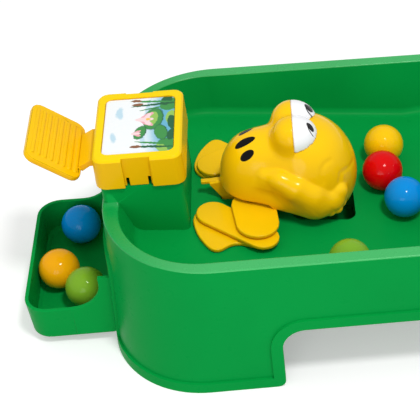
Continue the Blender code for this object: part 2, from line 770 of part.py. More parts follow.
def make_lever():
    half_neck = NECK_WIDTH / 2
    axis = (LEVER_AXIS_X, LEVER_AXIS_Z)
    lever = rod("press_lever_a", HUB_RADIUS, "Y", axis, -half_neck, half_neck)
    tilt = Matrix.Translation((PADDLE_INNER_X, 0.0, PADDLE_INNER_Z)) @ Matrix.Rotation(PADDLE_TILT, 4, "Y")

    neck_top = LEVER_AXIS_Z + NECK_THICKNESS / 2
    neck_low = neck_top - NECK_THICKNESS
    root_x = PADDLE_INNER_X + PADDLE_THICKNESS / 2
    root_top = PADDLE_INNER_Z
    elbow_x = CAP_OUTER_X - NECK_THICKNESS
    neck = [
        (LEVER_AXIS_X, neck_low),
        (LEVER_AXIS_X, neck_top),
        (elbow_x, neck_top),
        (root_x - PADDLE_THICKNESS, root_top + PADDLE_THICKNESS / 2),
        (root_x - PADDLE_THICKNESS / 2, root_top - PADDLE_THICKNESS / 2),
        (elbow_x, neck_low),
    ]
    join(lever, prism("neck", neck, "Y", -half_neck, half_neck))

    flat = outline(PADDLE_LENGTH / 2, PADDLE_WIDTH / 2, PADDLE_CORNER_RADIUS, -PADDLE_LENGTH / 2)
    edge = PADDLE_THICKNESS / 6
    small = outline(
        PADDLE_LENGTH / 2 - edge, PADDLE_WIDTH / 2 - edge, PADDLE_CORNER_RADIUS - edge, -PADDLE_LENGTH / 2
    )
    heights = (-PADDLE_THICKNESS, edge - PADDLE_THICKNESS, -edge, 0.0)
    rings = [at_height(points, z) for points, z in zip((small, flat, flat, small), heights)]
    paddle = loft("paddle", rings)
    paddle.data.transform(tilt)
    join(lever, paddle)
    pitch = PADDLE_LENGTH / (GRIP_RIB_COUNT + 1)
    rib_half = PADDLE_WIDTH / 2 - GRIP_RIB_INSET
    for index in range(GRIP_RIB_COUNT):
        centre = -pitch * (index + 1)
        rounded = outline(GRIP_RIB_WIDTH / 2, rib_half, GRIP_RIB_WIDTH / 2, centre, 2)
        rib = loft("rib", [at_height(rounded, z) for z in (-PADDLE_THICKNESS / 2, GRIP_RIB_HEIGHT)], 2)
        rib.data.transform(tilt)
        join(lever, rib)

    half_arm = DRIVE_ARM_THICKNESS / 2
    arm_low = drive_peg_z() - DRIVE_PEG_RADIUS / 2
    arm = block(
        "arm",
        (LEVER_AXIS_X - half_arm, -DRIVE_ARM_WIDTH / 2, arm_low),
        (LEVER_AXIS_X + half_arm, DRIVE_ARM_WIDTH / 2, LEVER_AXIS_Z),
    )
    peg_half = DRIVE_PEG_LENGTH / 2
    peg = rod("peg", DRIVE_PEG_RADIUS, "Y", (LEVER_AXIS_X, drive_peg_z()), -peg_half, peg_half, 12)
    join(lever, arm, peg)
    bore = rod("bore", PIN_RADIUS + PIN_CLEARANCE, "Y", axis, -NECK_WIDTH, NECK_WIDTH)
    return cut(lever, bore)


# Slide, cover, screws and spring


def drive_point():
    """The lever's peg in the floor's frame."""
    return floor_frame().inverted() @ Vector((LEVER_AXIS_X, 0.0, drive_peg_z()))


def slide_top():
    return -WALL - RUN_GAP


def spring_level():
    """Height of the spring's axis in the floor's frame, under the fork."""
    fork_low = drive_point().z - DRIVE_PEG_RADIUS - FORK_CLEARANCE - FORK_THICKNESS
    return fork_low - SPRING_RADIUS - SPRING_WIRE - RUN_GAP


def make_slide():
    """Flat bar under the floor, with a fork for the lever's peg and the post that carries the frog."""
    half = SLIDE_WIDTH / 2
    top = slide_top()
    low = top - SLIDE_THICKNESS
    peg = drive_point()
    gap = DRIVE_PEG_RADIUS + FORK_CLEARANCE
    rear = peg.x - gap - FORK_THICKNESS
    front = peg.x + gap + FORK_THICKNESS
    mouth_low = peg.z - gap
    slide = block("drive_slide_a", (rear, -half, mouth_low - FORK_THICKNESS), (front, half, top + FORK_RISE))
    join(slide, block("bar", (peg.x + gap, -half, low), (POST_X + POST_LENGTH / 2, half, top)))
    over = top + FORK_RISE + OVERRUN
    cut(slide, block("mouth", (peg.x - gap, -half - OVERRUN, mouth_low), (peg.x + gap, half + OVERRUN, over)))
    way = DRIVE_ARM_WIDTH / 2 + RUN_GAP
    cut(slide, block("arm_way", (rear - OVERRUN, -way, mouth_low), (peg.x + gap, way, over)))
    hook_low = spring_level() - SPRING_WIRE - RUN_GAP
    join(slide, rod("spring_post", SPRING_POST_RADIUS, "Z", (SPRING_MOVING_X, 0.0), hook_low, low + RUN_GAP, 10))

    bar_top = frog_level()
    bar_low = bar_top - HIP_BAR_THICKNESS
    hip_x, hip_y = HIP
    hip_half = HIP_BAR_LENGTH / 2
    reach = hip_y + HIP_PEG_RADIUS + WALL / 2
    join(slide, block("hip_bar", (hip_x - hip_half, -reach, bar_low), (hip_x + hip_half, reach, bar_top)))
    for sign in (-1, 1):
        place_xy = (hip_x, sign * hip_y)
        join(slide, rod("hip_peg", HIP_PEG_RADIUS, "Z", place_xy, leg_levels(2)[0], bar_low + RUN_GAP, 10))
    slide.data.transform(floor_frame())
    join(slide, make_post(), make_tail())
    bore = rod("bore", FROG_PIN_RADIUS + PIN_CLEARANCE, "Y", (FROG_AXIS_X, frog_axis_z()), -half, half, 12)
    return cut(slide, bore)


def frog_level():
    """Height of the frog's hinge above the floor, square to the floor."""
    return FROG_AXIS_RISE * math.cos(FLOOR_SLOPE)


def frog_axis_z():
    return floor_height(FROG_AXIS_X) + FROG_AXIS_RISE


def make_post():
    """Post through the floor, seen from the side: a web leans back from it and it holds the frog's hinge."""
    half = POST_WIDTH / 2
    under = floor_height(POST_X) - WALL - RUN_GAP - SLIDE_THICKNESS / 2
    front = POST_X + POST_LENGTH / 2
    back = POST_X - POST_LENGTH / 2
    axis_z = frog_axis_z()
    bar_low = axis_z - HIP_BAR_THICKNESS
    cheek = 2 * FROG_PIN_RADIUS
    profile = [
        (back, under),
        (front, under),
        (front, bar_low),
        (HIP[0], bar_low),
        (HIP[0], axis_z),
        (FROG_AXIS_X + cheek, axis_z),
        (FROG_AXIS_X + cheek / 2, axis_z + cheek),
        (FROG_AXIS_X - cheek / 2, axis_z + cheek),
        (FROG_AXIS_X - 2 * cheek, axis_z),
        (WEB_START_X, axis_z - TAIL_BAR_THICKNESS / 2),
        (WEB_START_X, axis_z - TAIL_BAR_THICKNESS),
        (back, floor_height(back) + RUN_GAP),
    ]
    return prism("post", profile, "Y", -half, half)


def make_tail():
    """Thin bar behind the frog, by which the slide is held back at rest."""
    top = frog_axis_z()
    half = TAIL_BAR_WIDTH / 2
    return block("tail", (TAIL_BAR_END_X, -half, top - TAIL_BAR_THICKNESS), (FROG_AXIS_X, half, top))


def make_cover():
    """Plate that holds the slide up against the underside of the floor."""
    top = slide_top() - SLIDE_THICKNESS - RUN_GAP - FIT_GAP
    half_x = (COVER_END_X - COVER_START_X) / 2
    flat = outline(half_x, COVER_WIDTH / 2, COVER_CORNER_RADIUS, COVER_START_X + half_x)
    cover = loft("slide_cover_a", [at_height(flat, z) for z in (top - COVER_THICKNESS, top)])
    for sign in (-1, 1):
        hole = (SCREW_X, sign * SCREW_Y)
        cut(cover, rod("hole", SCREW_RADIUS + FIT_GAP, "Z", hole, top - COVER_WIDTH, top + OVERRUN, 12))
    cover.data.transform(floor_frame())
    return cover


def make_screw(name, sign):
    plate_low = slide_top() - SLIDE_THICKNESS - RUN_GAP - FIT_GAP - COVER_THICKNESS
    head_top = plate_low - FIT_GAP
    centre = (SCREW_X, sign * SCREW_Y)
    screw = rod(name, 2 * SCREW_RADIUS, "Z", centre, head_top - SCREW_RADIUS, head_top, 14)
    join(screw, rod("shank", SCREW_RADIUS, "Z", centre, head_top - SCREW_RADIUS / 2, -WALL, 10))
    for turn in (0, 1):
        long, short = SCREW_RADIUS, SCREW_RADIUS / 4
        half_x, half_y = (long, short) if turn else (short, long)
        x, y = centre
        low = head_top - SCREW_RADIUS
        slot = block("slot", (x - half_x, y - half_y, low - RUN_GAP), (x + half_x, y + half_y, low + RUN_GAP))
        cut(screw, slot)
    screw.data.transform(floor_frame())
    return screw


def make_first_screw():
    return make_screw("left_screw_a", 1)


def make_second_screw():
    return make_screw("right_screw_a", -1)


def wire(name, path, radius, sides=5):
    """Round wire along a path of points."""
    path = [Vector(point) for point in path]
    rings = []
    side = Vector((0.0, 0.0, 1.0))
    for index, point in enumerate(path):
        ahead = path[min(index + 1, len(path) - 1)] - path[max(index - 1, 0)]
        ahead.normalize()
        side = (side - ahead * side.dot(ahead)).normalized()
        other = ahead.cross(side)
        ring = []
        for step in range(sides):
            angle = 2 * math.pi * step / sides
            ring.append(point + radius * (math.cos(angle) * side + math.sin(angle) * other))
        rings.append(ring)
    mesh, rows = ring_mesh(rings)
    mesh.faces.new(rows[0])
    mesh.faces.new(rows[-1])
    return mesh_object(name, mesh)


def spring_hook(centre_x, direction):
    """Open loop of wire round a post, from its free end to the spring's axis."""
    level = spring_level()
    radius = SPRING_POST_RADIUS + FIT_GAP + SPRING_WIRE / 2
    points = []
    for step in range(9):
        angle = math.radians(55.0) + math.radians(250.0) * step / 8
        x = centre_x + direction * radius * math.cos(angle)
        points.append((x, radius * math.sin(angle), level))
    return points


def make_spring():
    """Extension spring from a post on the board to a post under the slide."""
    level = spring_level()
    lead = 2 * SPRING_POST_RADIUS + 2 * SPRING_WIRE
    start = SPRING_FIXED_X + lead
    end = SPRING_MOVING_X - lead
    path = spring_hook(SPRING_FIXED_X, 1)
    count = SPRING_TURNS * SPRING_STEPS
    for step in range(count + 1):
        turn = step / SPRING_STEPS
        swell = min(1.0, 2 * turn, 2 * (SPRING_TURNS - turn))
        angle = 2 * math.pi * turn
        x = start + (end - start) * step / count
        radius = SPRING_RADIUS * swell
        path.append((x, radius * math.sin(angle), level + radius * math.cos(angle)))
    path += reversed(spring_hook(SPRING_MOVING_X, -1))
    spring = wire("return_spring_a", path, SPRING_WIRE / 2)
    spring.data.transform(floor_frame())
    return spring


def add_spring_bracket(board, side):
    """Bracket on the inside of the end wall, with a post for the fixed end of the spring."""
    level = spring_level()
    shelf_top = level - SPRING_WIRE - RUN_GAP
    reach = SPRING_FIXED_X + 2 * SPRING_POST_RADIUS
    half = 2 * SPRING_POST_RADIUS
    wall_x = WALL - HALF_LENGTH - FOOT_SPREAD_END
    bracket = block("bracket", (wall_x, -half, shelf_top - WALL), (reach, half, shelf_top))
    post_top = level + SPRING_WIRE + RUN_GAP
    join(bracket, rod("post", SPRING_POST_RADIUS, "Z", (SPRING_FIXED_X, 0.0), shelf_top - WALL / 2, post_top, 10))
    bracket.data.transform(floor_frame())
    join(board, turned(bracket, side))


def add_bosses(board, side):
    """Screw bosses and guide rails for the slide, under the floor."""
    low = slide_top() - SLIDE_THICKNESS - RUN_GAP
    high = -WALL / 2
    inner = SLIDE_WIDTH / 2 + RUN_GAP
    for sign in (-1, 1):
        near, far = sorted((sign * inner, sign * (inner + COVER_THICKNESS)))
        guide = block("guide", (COVER_START_X, near, low), (COVER_END_X, far, high))
        centre = (SCREW_X, sign * SCREW_Y)
        boss = rod("boss", SCREW_BOSS_RADIUS, "Z", centre, low, high)
        bore = rod("bore", SCREW_RADIUS + FIT_GAP, "Z", centre, low - OVERRUN, high, 12)
        for tool in (guide, boss, bore):
            tool.data.transform(floor_frame())
        join(board, turned(guide, side), turned(boss, side))
        cut(board, turned(bore, side))


# Chute and tray


def chute_floor(x):
    exit_x = -HALF_LENGTH - FOOT_SPREAD_END
    share = (x - HOLE_END_X) / (exit_x - HOLE_END_X)
    return CHUTE_HIGH_Z + (CHUTE_LOW_Z - CHUTE_HIGH_Z) * share


def chute_sections(grow):
    """Cross-sections along the chute: inner faces where grow is 0, outer faces where it is the wall."""
    mouth = CHUTE_MOUTH_WIDTH / 2 + grow
    narrow = CHUTE_WIDTH / 2 + grow
    start = HOLE_END_X + WALL / 2 + grow
    back = HOLE_START_X - WALL / 2 - grow
    taper_end = back - CHUTE_TAPER
    exit_x = -HALF_LENGTH - FOOT_SPREAD_END + FIT_GAP
    under = -WALL - FIT_GAP
    rows = [
        (start, mouth, floor_height(start) + under),
        (back, mouth, floor_height(back) + under),
        (back - WALL, mouth - WALL / 2, chute_floor(back) + CHUTE_WALL_HEIGHT),
        (taper_end, narrow, chute_floor(taper_end) + CHUTE_WALL_HEIGHT),
        (exit_x, narrow, chute_floor(exit_x) + CHUTE_WALL_HEIGHT),
    ]
    if not grow:
        rows = [(x, half, top + OVERRUN) for x, half, top in rows]
        rows[-1] = (exit_x - OVERRUN, narrow, chute_floor(exit_x) + CHUTE_WALL_HEIGHT + OVERRUN)
    sections = []
    for x, half, top in rows:
        low = chute_floor(x) - grow
        corners = ((-half, low), (half, low), (half, top), (-half, top))
        sections.append([Vector((x, y, z)) for y, z in corners])
    return sections


def box_loft(name, sections):
    mesh, rows = ring_mesh(sections)
    mesh.faces.new(rows[0])
    mesh.faces.new(rows[-1])
    return mesh_object(name, mesh)


def make_chute():
    chute = box_loft("ball_chute_a", chute_sections(CHUTE_WALL))
    return cut(chute, box_loft("chute_hollow", chute_sections(0.0)))


def make_tray():
    """Catch tray open to the end wall, with tall flanges that slide in the rails there."""
    inner_x = -HALF_LENGTH + RIM_CORNER_RADIUS / 2
    half_x = (inner_x - TRAY_END_X) / 2
    centre = TRAY_END_X + half_x
    half_y = TRAY_WIDTH / 2

    def ring(inset, z):
        lean = TRAY_DRAFT * (TRAY_RIM_Z - z) / (TRAY_RIM_Z - TRAY_BASE_Z)
        flat = outline(
            half_x - inset - lean, half_y - inset - lean, TRAY_CORNER_RADIUS - inset - lean, centre, BOARD_ARC_STEPS
        )
        return at_height(flat, z)

    tray = loft(
        "catch_tray_a",
        [ring(TRAY_WALL / 2, TRAY_BASE_Z), ring(0.0, TRAY_BASE_Z + TRAY_WALL / 2), ring(0.0, TRAY_RIM_Z)],
        BOARD_ARC_STEPS,
    )
    floor_z = TRAY_BASE_Z + TRAY_FLOOR
    hollow = loft(
        "tray_hollow",
        [ring(2 * TRAY_WALL, floor_z), ring(TRAY_WALL, floor_z + TRAY_WALL), ring(TRAY_WALL, TRAY_RIM_Z + OVERRUN)],
        BOARD_ARC_STEPS,
    )
    cut(tray, hollow)
    cut(tray, skirt("clear", LIP_DEPTH + RUN_GAP, -OVERRUN, RIM_HEIGHT))
    sweep_centre = (TRAY_SWEEP_X - TRAY_SWEEP_RADIUS, TRAY_RIM_Z + TRAY_SWEEP_RADIUS)
    profile = arc(sweep_centre, TRAY_SWEEP_RADIUS, 3, 4, BOARD_ARC_STEPS)
    profile += [(TRAY_SWEEP_X, TRAY_FLANGE_Z), (inner_x, TRAY_FLANGE_Z), (inner_x, TRAY_BASE_Z + TRAY_WALL)]
    profile += [(profile[0][0], TRAY_BASE_Z + TRAY_WALL)]
    for sign in (-1, 1):
        near, far = sorted((sign * (half_y - TRAY_WALL), sign * half_y))
        flange = prism("flange", profile, "Y", near, far)
        cut(flange, skirt("clear", FIT_GAP, -OVERRUN, RIM_HEIGHT))
        join(tray, flange)
    return tray


# Frog


def soft_union(first, second, reach):
    """Distance to two forms joined with a soft valley between them."""
    share = np.clip((1 + (second - first) / reach) / 2, 0.0, 1.0)
    return second * (1 - share) + first * share - reach * share * (1 - share)


def ellipsoid_gap(points, centre, radii, lean):
    """Distance to an ellipsoid that leans back about Y."""
    away = points - np.array(centre)
    x = away[:, 0] * math.cos(lean) + away[:, 2] * math.sin(lean)
    z = away[:, 2] * math.cos(lean) - away[:, 0] * math.sin(lean)
    turned_points = np.column_stack([x, away[:, 1], z])
    near = np.linalg.norm(turned_points / np.array(radii), axis=1)
    steep = np.linalg.norm(turned_points / np.array(radii) ** 2, axis=1)
    return near * (near - 1) / steep


def limb_gap(points, start, start_radius, end, end_radius):
    """Distance to a limb whose radius changes evenly from one end to the other."""
    start = np.array(start)
    along = np.array(end) - start
    share = np.clip((points - start) @ along / (along @ along), 0.0, 1.0)
    near = start + share[:, None] * along
    return np.linalg.norm(points - near, axis=1) - (start_radius + (end_radius - start_radius) * share)


def torso_gap(points):
    body = ellipsoid_gap(points, BODY_CENTRE, BODY_RADII, BODY_LEAN)
    head = ellipsoid_gap(points, HEAD_CENTRE, HEAD_RADII, HEAD_LEAN)
    return soft_union(body, head, NECK_BLEND)


def frog_gap(points):
    """Distance to the torso with both arms."""
    half = np.column_stack([points[:, 0], np.abs(points[:, 1]), points[:, 2]])
    arm = limb_gap(half, SHOULDER, SHOULDER_RADIUS, ELBOW, ELBOW_RADIUS)
    arm = soft_union(arm, limb_gap(half, ELBOW, ELBOW_RADIUS, WRIST, WRIST_RADIUS), ARM_BLEND)
    arm = soft_union(arm, limb_gap(half, WRIST, WRIST_RADIUS, HAND, HAND_RADIUS), ARM_BLEND)
    return soft_union(torso_gap(half), arm, ARM_BLEND)


def skin(name, gap, middle, by, count):
    """Closed mesh a distance inside a form, from the outermost point that each ray from the middle meets."""
    around, along = count
    directions = []
    for row in range(along + 1):
        polar = math.pi * row / along
        for step in range(around if 0 < row < along else 1):
            turn = 2 * math.pi * (step + 1 / 2) / around
            flat = math.sin(polar)
            directions.append((flat * math.cos(turn), flat * math.sin(turn), math.cos(polar)))
    directions = np.array(directions)
    middle = np.array(middle)
    reach = 2 * HEAD_RADII[2]
    low = np.zeros(len(directions))
    for share in np.linspace(0.0, 1.0, 60):
        inside = gap(middle + directions * reach * share) < -by
        low = np.where(inside, reach * share, low)
    high = low + reach / 59
    for _ in range(24):
        half_way = (low + high) / 2
        inside = gap(middle + directions * half_way[:, None]) < -by
        low = np.where(inside, half_way, low)
        high = np.where(inside, high, half_way)
    mesh = bmesh.new()
    points = [mesh.verts.new(point) for point in middle + directions * low[:, None]]
    rings = [[points[1 + around * row + step] for step in range(around)] for row in range(along - 1)]
    for step in range(around):
        after = (step + 1) % around
        mesh.faces.new((points[0], rings[0][step], rings[0][after]))
        mesh.faces.new((points[-1], rings[-1][after], rings[-1][step]))
        for upper, lower in zip(rings, rings[1:]):
            mesh.faces.new((upper[step], lower[step], lower[after], upper[after]))
    return mesh_object(name, mesh)


def flipped(point, sign):
    return Vector((point[0], sign * point[1], point[2]))


def eye_bulbs(name, by, front):
    """Both eyes' bulbs in one, cut square at their middle: the front halves or the rear halves."""
    long = EYE_FRONT_LENGTH if front else EYE_RADIUS

    def gap(points):
        half = np.column_stack([points[:, 0], np.abs(points[:, 1]), points[:, 2]])
        return ellipsoid_gap(half, EYE_CENTRE, (long, EYE_RADIUS, EYE_RADIUS), 0.0)

    x, _, z = EYE_CENTRE
    bulbs = skin(name, gap, (x, 0.0, z), by, EYE_FACETS)
    far = 3 * EYE_RADIUS
    seam = x + FIT_GAP / 2
    start, end = (x - far, seam + FIT_GAP) if front else (seam, x + far)
    return cut(bulbs, block("half", (start, -far, z - far), (end, far, z + far)))


def under_frog():
    """Everything below the frog's lower edge, which falls from the body to the hands."""
    back = BODY_CENTRE[0] - 2 * BODY_RADII[0]
    front = HEAD_CENTRE[0] + 2 * HEAD_RADII[0]
    half = 2 * HEAD_RADII[1]
    profile = [
        (back, 0.0),
        (front, 0.0),
        (front, floor_height(front) + HEAD_RISE),
        (HEAD_EDGE_X, floor_height(HEAD_EDGE_X) + HEAD_RISE),
        (ARM_EDGE_X, floor_height(ARM_EDGE_X) + ARM_RISE),
        (BODY_EDGE_X, floor_height(BODY_EDGE_X) + BODY_RISE),
        (back, floor_height(back) + BODY_RISE),
    ]
    return prism("under", profile, "Y", -half, half)


def make_frog():
    """Frog shell, open below, with two ears inside for its hinge pin."""
    shell = skin("frog_shell_a", frog_gap, FROG_MIDDLE, 0.0, FROG_FACETS)
    join(shell, eye_bulbs("lids", 0.0, False))
    for sign in (-1, 1):
        for tip in FINGER_TIPS:
            join(shell, ellipsoid("finger", flipped(tip, sign), (FINGER_RADIUS,) * 3, 10, 7))
    cut(shell, under_frog())
    cavity = skin("cavity", frog_gap, FROG_MIDDLE, FROG_WALL, CAVITY_FACETS)
    join(cavity, eye_bulbs("lid_hollows", FROG_WALL, False))
    cut(shell, cavity)

    axis = (FROG_AXIS_X, frog_axis_z())
    ear_radius = 2 * FROG_PIN_RADIUS
    ear = [(axis[0] - ear_radius, axis[1] + EAR_HEIGHT)]
    ear += arc(axis, ear_radius, 2, 4, 2 * SMALL_ARC_STEPS)
    ear += [(axis[0] + ear_radius, axis[1] + EAR_HEIGHT)]
    near = POST_WIDTH / 2 + 2 * FIT_GAP
    for sign in (-1, 1):
        low, high = sorted((sign * near, sign * (near + FROG_WALL)))
        join(shell, prism("ear", ear, "Y", low, high))
    bore = rod("bore", FROG_PIN_RADIUS + PIN_CLEARANCE, "Y", axis, -HAND_RADIUS, HAND_RADIUS, 12)
    notch_high = frog_axis_z() + HIP_BAR_THICKNESS
    back = BODY_CENTRE[0] - BODY_RADII[0] - OVERRUN
    edge = FROG_AXIS_X - ear_radius - RUN_GAP
    return cut(shell, bore, block("notch", (back, -near, 0.0), (edge, near, notch_high)))


def make_eyes():
    """White front halves of both eyes, one hollow moulding set against the head."""
    eyes = eye_bulbs("frog_eyes_a", 0.0, True)
    inside = eye_bulbs("hollow", FROG_WALL, True)
    inside.data.transform(Matrix.Translation((-RUN_GAP, 0.0, 0.0)))
    return cut(eyes, inside, skin("torso", torso_gap, FROG_MIDDLE, -FIT_GAP, FROG_FACETS))


def make_frog_pin():
    reach = POST_WIDTH / 2 + 2 * FIT_GAP + FROG_WALL + RUN_GAP
    return rod("frog_pin_a", FROG_PIN_RADIUS, "Y", (FROG_AXIS_X, frog_axis_z()), -reach, reach, 12)


# Legs, three plates stacked on the floor: foot, shin, thigh


def leg_levels(layer):
    low = FIT_GAP + layer * (LEG_PLATE + LEG_GAP)
    return low, low + LEG_PLATE


def around(circles, steps=20):
    """Convex outline round a few circles, by taking the outermost points of each."""
    points = []
    for (x, y), radius in circles:
        for step in range(steps):
            angle = 2 * math.pi * step / steps
            points.append((x + radius * math.cos(angle), y + radius * math.sin(angle)))
    points.sort()
    found = []
    for run in (points, points[::-1]):
        chain = []
        for point in run:
            while len(chain) > 1 and turn_of(chain[-2], chain[-1], point) <= 0:
                chain.pop()
            chain.append(point)
        found += chain[:-1]
    return found


def turn_of(a, b, c):
    return (b[0] - a[0]) * (c[1] - a[1]) - (b[1] - a[1]) * (c[0] - a[0])


def plate(name, circles, layer, sign):
    low, high = leg_levels(layer)
    circles = [((x, sign * y), radius) for (x, y), radius in circles]
    return prism(name, around(circles), "Z", low, high)


def leg_peg(spot, sign, low, high):
    return rod("peg", LEG_PEG_RADIUS, "Z", (spot[0], sign * spot[1]), low, high, 12)


def leg_hole(spot, sign, radius, high):
    return rod("hole", radius, "Z", (spot[0], sign * spot[1]), -OVERRUN, high, 14)


def rounded_outline(points):
    """The outline with each corner cut twice, so that it runs in a smooth curve."""
    for _ in range(1):
        finer = []
        for (ax, ay), (bx, by) in zip(points, points[1:] + points[:1]):
            finer.append(((3 * ax + bx) / 4, (3 * ay + by) / 4))
            finer.append(((ax + 3 * bx) / 4, (ay + 3 * by) / 4))
        points = finer
    return points


def make_foot(name, sign):
    """Webbed foot, pegged to the floor at the heel and at one toe, with the shin's pivot on its heel."""
    low, high = leg_levels(0)
    points = rounded_outline([(x, sign * y) for x, y in FOOT_OUTLINE])
    foot = prism(name, points, "Z", low, high)
    middle = low + LEG_PLATE / 2
    join(foot, leg_peg(TOE_PEG, sign, -LEG_PEG_RADIUS, middle), leg_peg(ANKLE, sign, -LEG_PEG_RADIUS, middle))
    return join(foot, leg_peg(ANKLE, sign, middle, leg_levels(1)[1] - 2 * LEG_COVER))


def make_shin(name, sign):
    shin = plate(name, ((SHIN_LOW, SHIN_LOW_RADIUS), (SHIN_HIGH, SHIN_HIGH_RADIUS)), 1, sign)
    low, high = leg_levels(1)
    join(shin, leg_peg(KNEE, sign, low + LEG_PLATE / 2, leg_levels(2)[1] - 2 * LEG_COVER))
    return cut(shin, leg_hole(ANKLE, sign, LEG_PEG_RADIUS + LEG_PEG_CLEARANCE, high - LEG_COVER))


def make_thigh(name, sign):
    thigh = plate(name, ((THIGH_LOW, THIGH_LOW_RADIUS), (THIGH_HIGH, THIGH_HIGH_RADIUS)), 2, sign)
    high = leg_levels(2)[1]
    cut(thigh, leg_hole(KNEE, sign, LEG_PEG_RADIUS + LEG_PEG_CLEARANCE, high - LEG_COVER))
    return cut(thigh, leg_hole(HIP, sign, HIP_HOLE_RADIUS, high + OVERRUN))


# Balls


def make_ball(name, x, y, z):
    return ellipsoid(name, (x, y, z), (BALL_RADIUS, BALL_RADIUS, BALL_RADIUS), 16, 9)


def rest_height(x):
    """Centre height of a ball on the sloping floor."""
    return floor_height(x) + BALL_RADIUS / math.cos(FLOOR_SLOPE) + FIT_GAP


# Scene


def clear_scene():
    for thing in list(bpy.data.objects):
        bpy.data.objects.remove(thing)


def frame_empty(name, matrix, parent=None):
    empty = bpy.data.objects.new(name, None)
    bpy.context.scene.collection.objects.link(empty)
    empty.parent = parent
    empty.matrix_local = matrix
    return empty


def main():
    clear_scene()
    green = plastic("green_plastic", (0.003, 0.33, 0.06), 0.3)
    yellow = plastic("yellow_plastic", (0.95, 0.55, 0.01), 0.3)
    blue = plastic("blue_plastic", (0.01, 0.20, 0.62), 0.3)
    white = plastic("white_plastic", (0.85, 0.85, 0.83), 0.35)
    card = plastic("printed_card", (0.8, 0.85, 0.75), 0.5)
    ball_colours = {
        "yellow": plastic("ball_yellow", (0.95, 0.60, 0.01), 0.2),
        "orange": plastic("ball_orange", (0.90, 0.35, 0.01), 0.2),
        "red": plastic("ball_red", (0.75, 0.004, 0.01), 0.2),
        "blue": plastic("ball_blue", (0.003, 0.20, 0.55), 0.2),
        "olive": plastic("ball_olive", (0.22, 0.42, 0.03), 0.2),
    }
    metal = steel("steel")
    root = frame_empty("board_frame", Matrix.Identity(4))
    end_a = frame_empty("end_a", Matrix.Identity(4))
    end_b = frame_empty("end_b", Matrix.Rotation(math.pi, 4, "Z"))
    slope_a = frame_empty("slope_a", floor_frame(), end_a)
    slope_b = frame_empty("slope_b", floor_frame(), end_b)

    place(make_board(), green, root)
    lever_axis = (LEVER_AXIS_X, 0.0, LEVER_AXIS_Z)
    frog_axis = (FROG_AXIS_X, 0.0, frog_axis_z())
    start = (0.0, 0.0, 0.0)
    pieces = (
        (make_cap, yellow, blue, start),
        (make_card, card, card, start),
        (make_pin, metal, metal, lever_axis),
        (make_lever, yellow, blue, lever_axis),
        (make_slide, yellow, blue, frog_axis),
        (make_cover, green, green, start),
        (make_first_screw, metal, metal, start),
        (make_second_screw, metal, metal, start),
        (make_spring, metal, metal, start),
        (make_chute, green, green, start),
        (make_tray, green, green, start),
        (make_frog, yellow, blue, frog_axis),
        (make_eyes, white, white, frog_axis),
        (make_frog_pin, metal, metal, frog_axis),
    )
    for make, first, second, origin in pieces:
        piece = place(make(), first, end_a, origin)
        twin(piece, piece.name[:-1] + "b", second, end_b)
    links = (("foot", make_foot, ANKLE), ("shin", make_shin, ANKLE), ("thigh", make_thigh, KNEE))
    for side_name, sign in (("left", 1), ("right", -1)):
        for part_name, make, spot in links:
            origin = (spot[0], sign * spot[1], 0.0)
            piece = place(make(f"{side_name}_{part_name}_a", sign), yellow, slope_a, origin)
            twin(piece, piece.name[:-1] + "b", blue, slope_b)
    for colour, x, y in ARENA_BALLS:
        place(make_ball(f"arena_ball_{colour}", 0.0, 0.0, 0.0), ball_colours[colour.split("_")[0]], root)
        bpy.data.objects[f"arena_ball_{colour}"].location = (x, y, rest_height(x))
    tray_z = TRAY_BASE_Z + TRAY_FLOOR + BALL_RADIUS + FIT_GAP
    outer = -TRAY_END_X - TRAY_WALL - BALL_RADIUS
    inner = HALF_LENGTH + FOOT_SPREAD_END + LIP_DEPTH + BALL_RADIUS
    room = TRAY_WIDTH / 2 - TRAY_WALL - BALL_RADIUS
    for colour, side, along, across in TRAY_BALL_SHARES:
        place(make_ball(f"tray_ball_{colour}", 0.0, 0.0, 0.0), ball_colours[colour.split("_")[0]], root)
        x = side * (outer + (inner - outer) * along)
        bpy.data.objects[f"tray_ball_{colour}"].location = (x, room * across, tray_z)


main()
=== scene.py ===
"""Dressed frog marble game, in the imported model's frame.

Metres, +Z up, +X along the board. End a is at -X. End b is end a turned half a turn about Z.
"""

import math

import bmesh
import bpy
import numpy as np
from mathutils import Matrix, Vector


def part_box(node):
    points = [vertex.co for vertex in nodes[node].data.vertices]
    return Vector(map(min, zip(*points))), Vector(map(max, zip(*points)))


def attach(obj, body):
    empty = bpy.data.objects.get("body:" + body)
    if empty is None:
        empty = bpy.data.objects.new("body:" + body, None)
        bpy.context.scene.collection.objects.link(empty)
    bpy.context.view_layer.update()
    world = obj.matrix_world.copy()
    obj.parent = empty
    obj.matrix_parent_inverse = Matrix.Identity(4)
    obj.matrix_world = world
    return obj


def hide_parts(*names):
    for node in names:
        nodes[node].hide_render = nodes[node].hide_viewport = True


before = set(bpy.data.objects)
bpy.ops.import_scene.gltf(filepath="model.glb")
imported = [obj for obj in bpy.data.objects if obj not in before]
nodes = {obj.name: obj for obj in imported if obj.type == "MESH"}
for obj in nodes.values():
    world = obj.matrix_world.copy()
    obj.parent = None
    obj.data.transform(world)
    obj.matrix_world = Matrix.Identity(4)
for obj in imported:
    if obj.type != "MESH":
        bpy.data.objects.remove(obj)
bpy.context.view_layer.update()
HALF_TURN = Matrix.Rotation(math.pi, 4, "Z")
PLAYERS = {"a": "yellow", "b": "blue"}

# Sizes shared with the solids
FLOOR_LOW_HEIGHT = 0.0430
FLOOR_SLOPE = math.radians(5.7)
BALL_RADIUS = 0.0100
FROG_WALL = 0.0018


def floor_height(x):
    """Height of the arena's floor, for one place or an array of places."""
    return FLOOR_LOW_HEIGHT + math.tan(FLOOR_SLOPE) * abs(x)


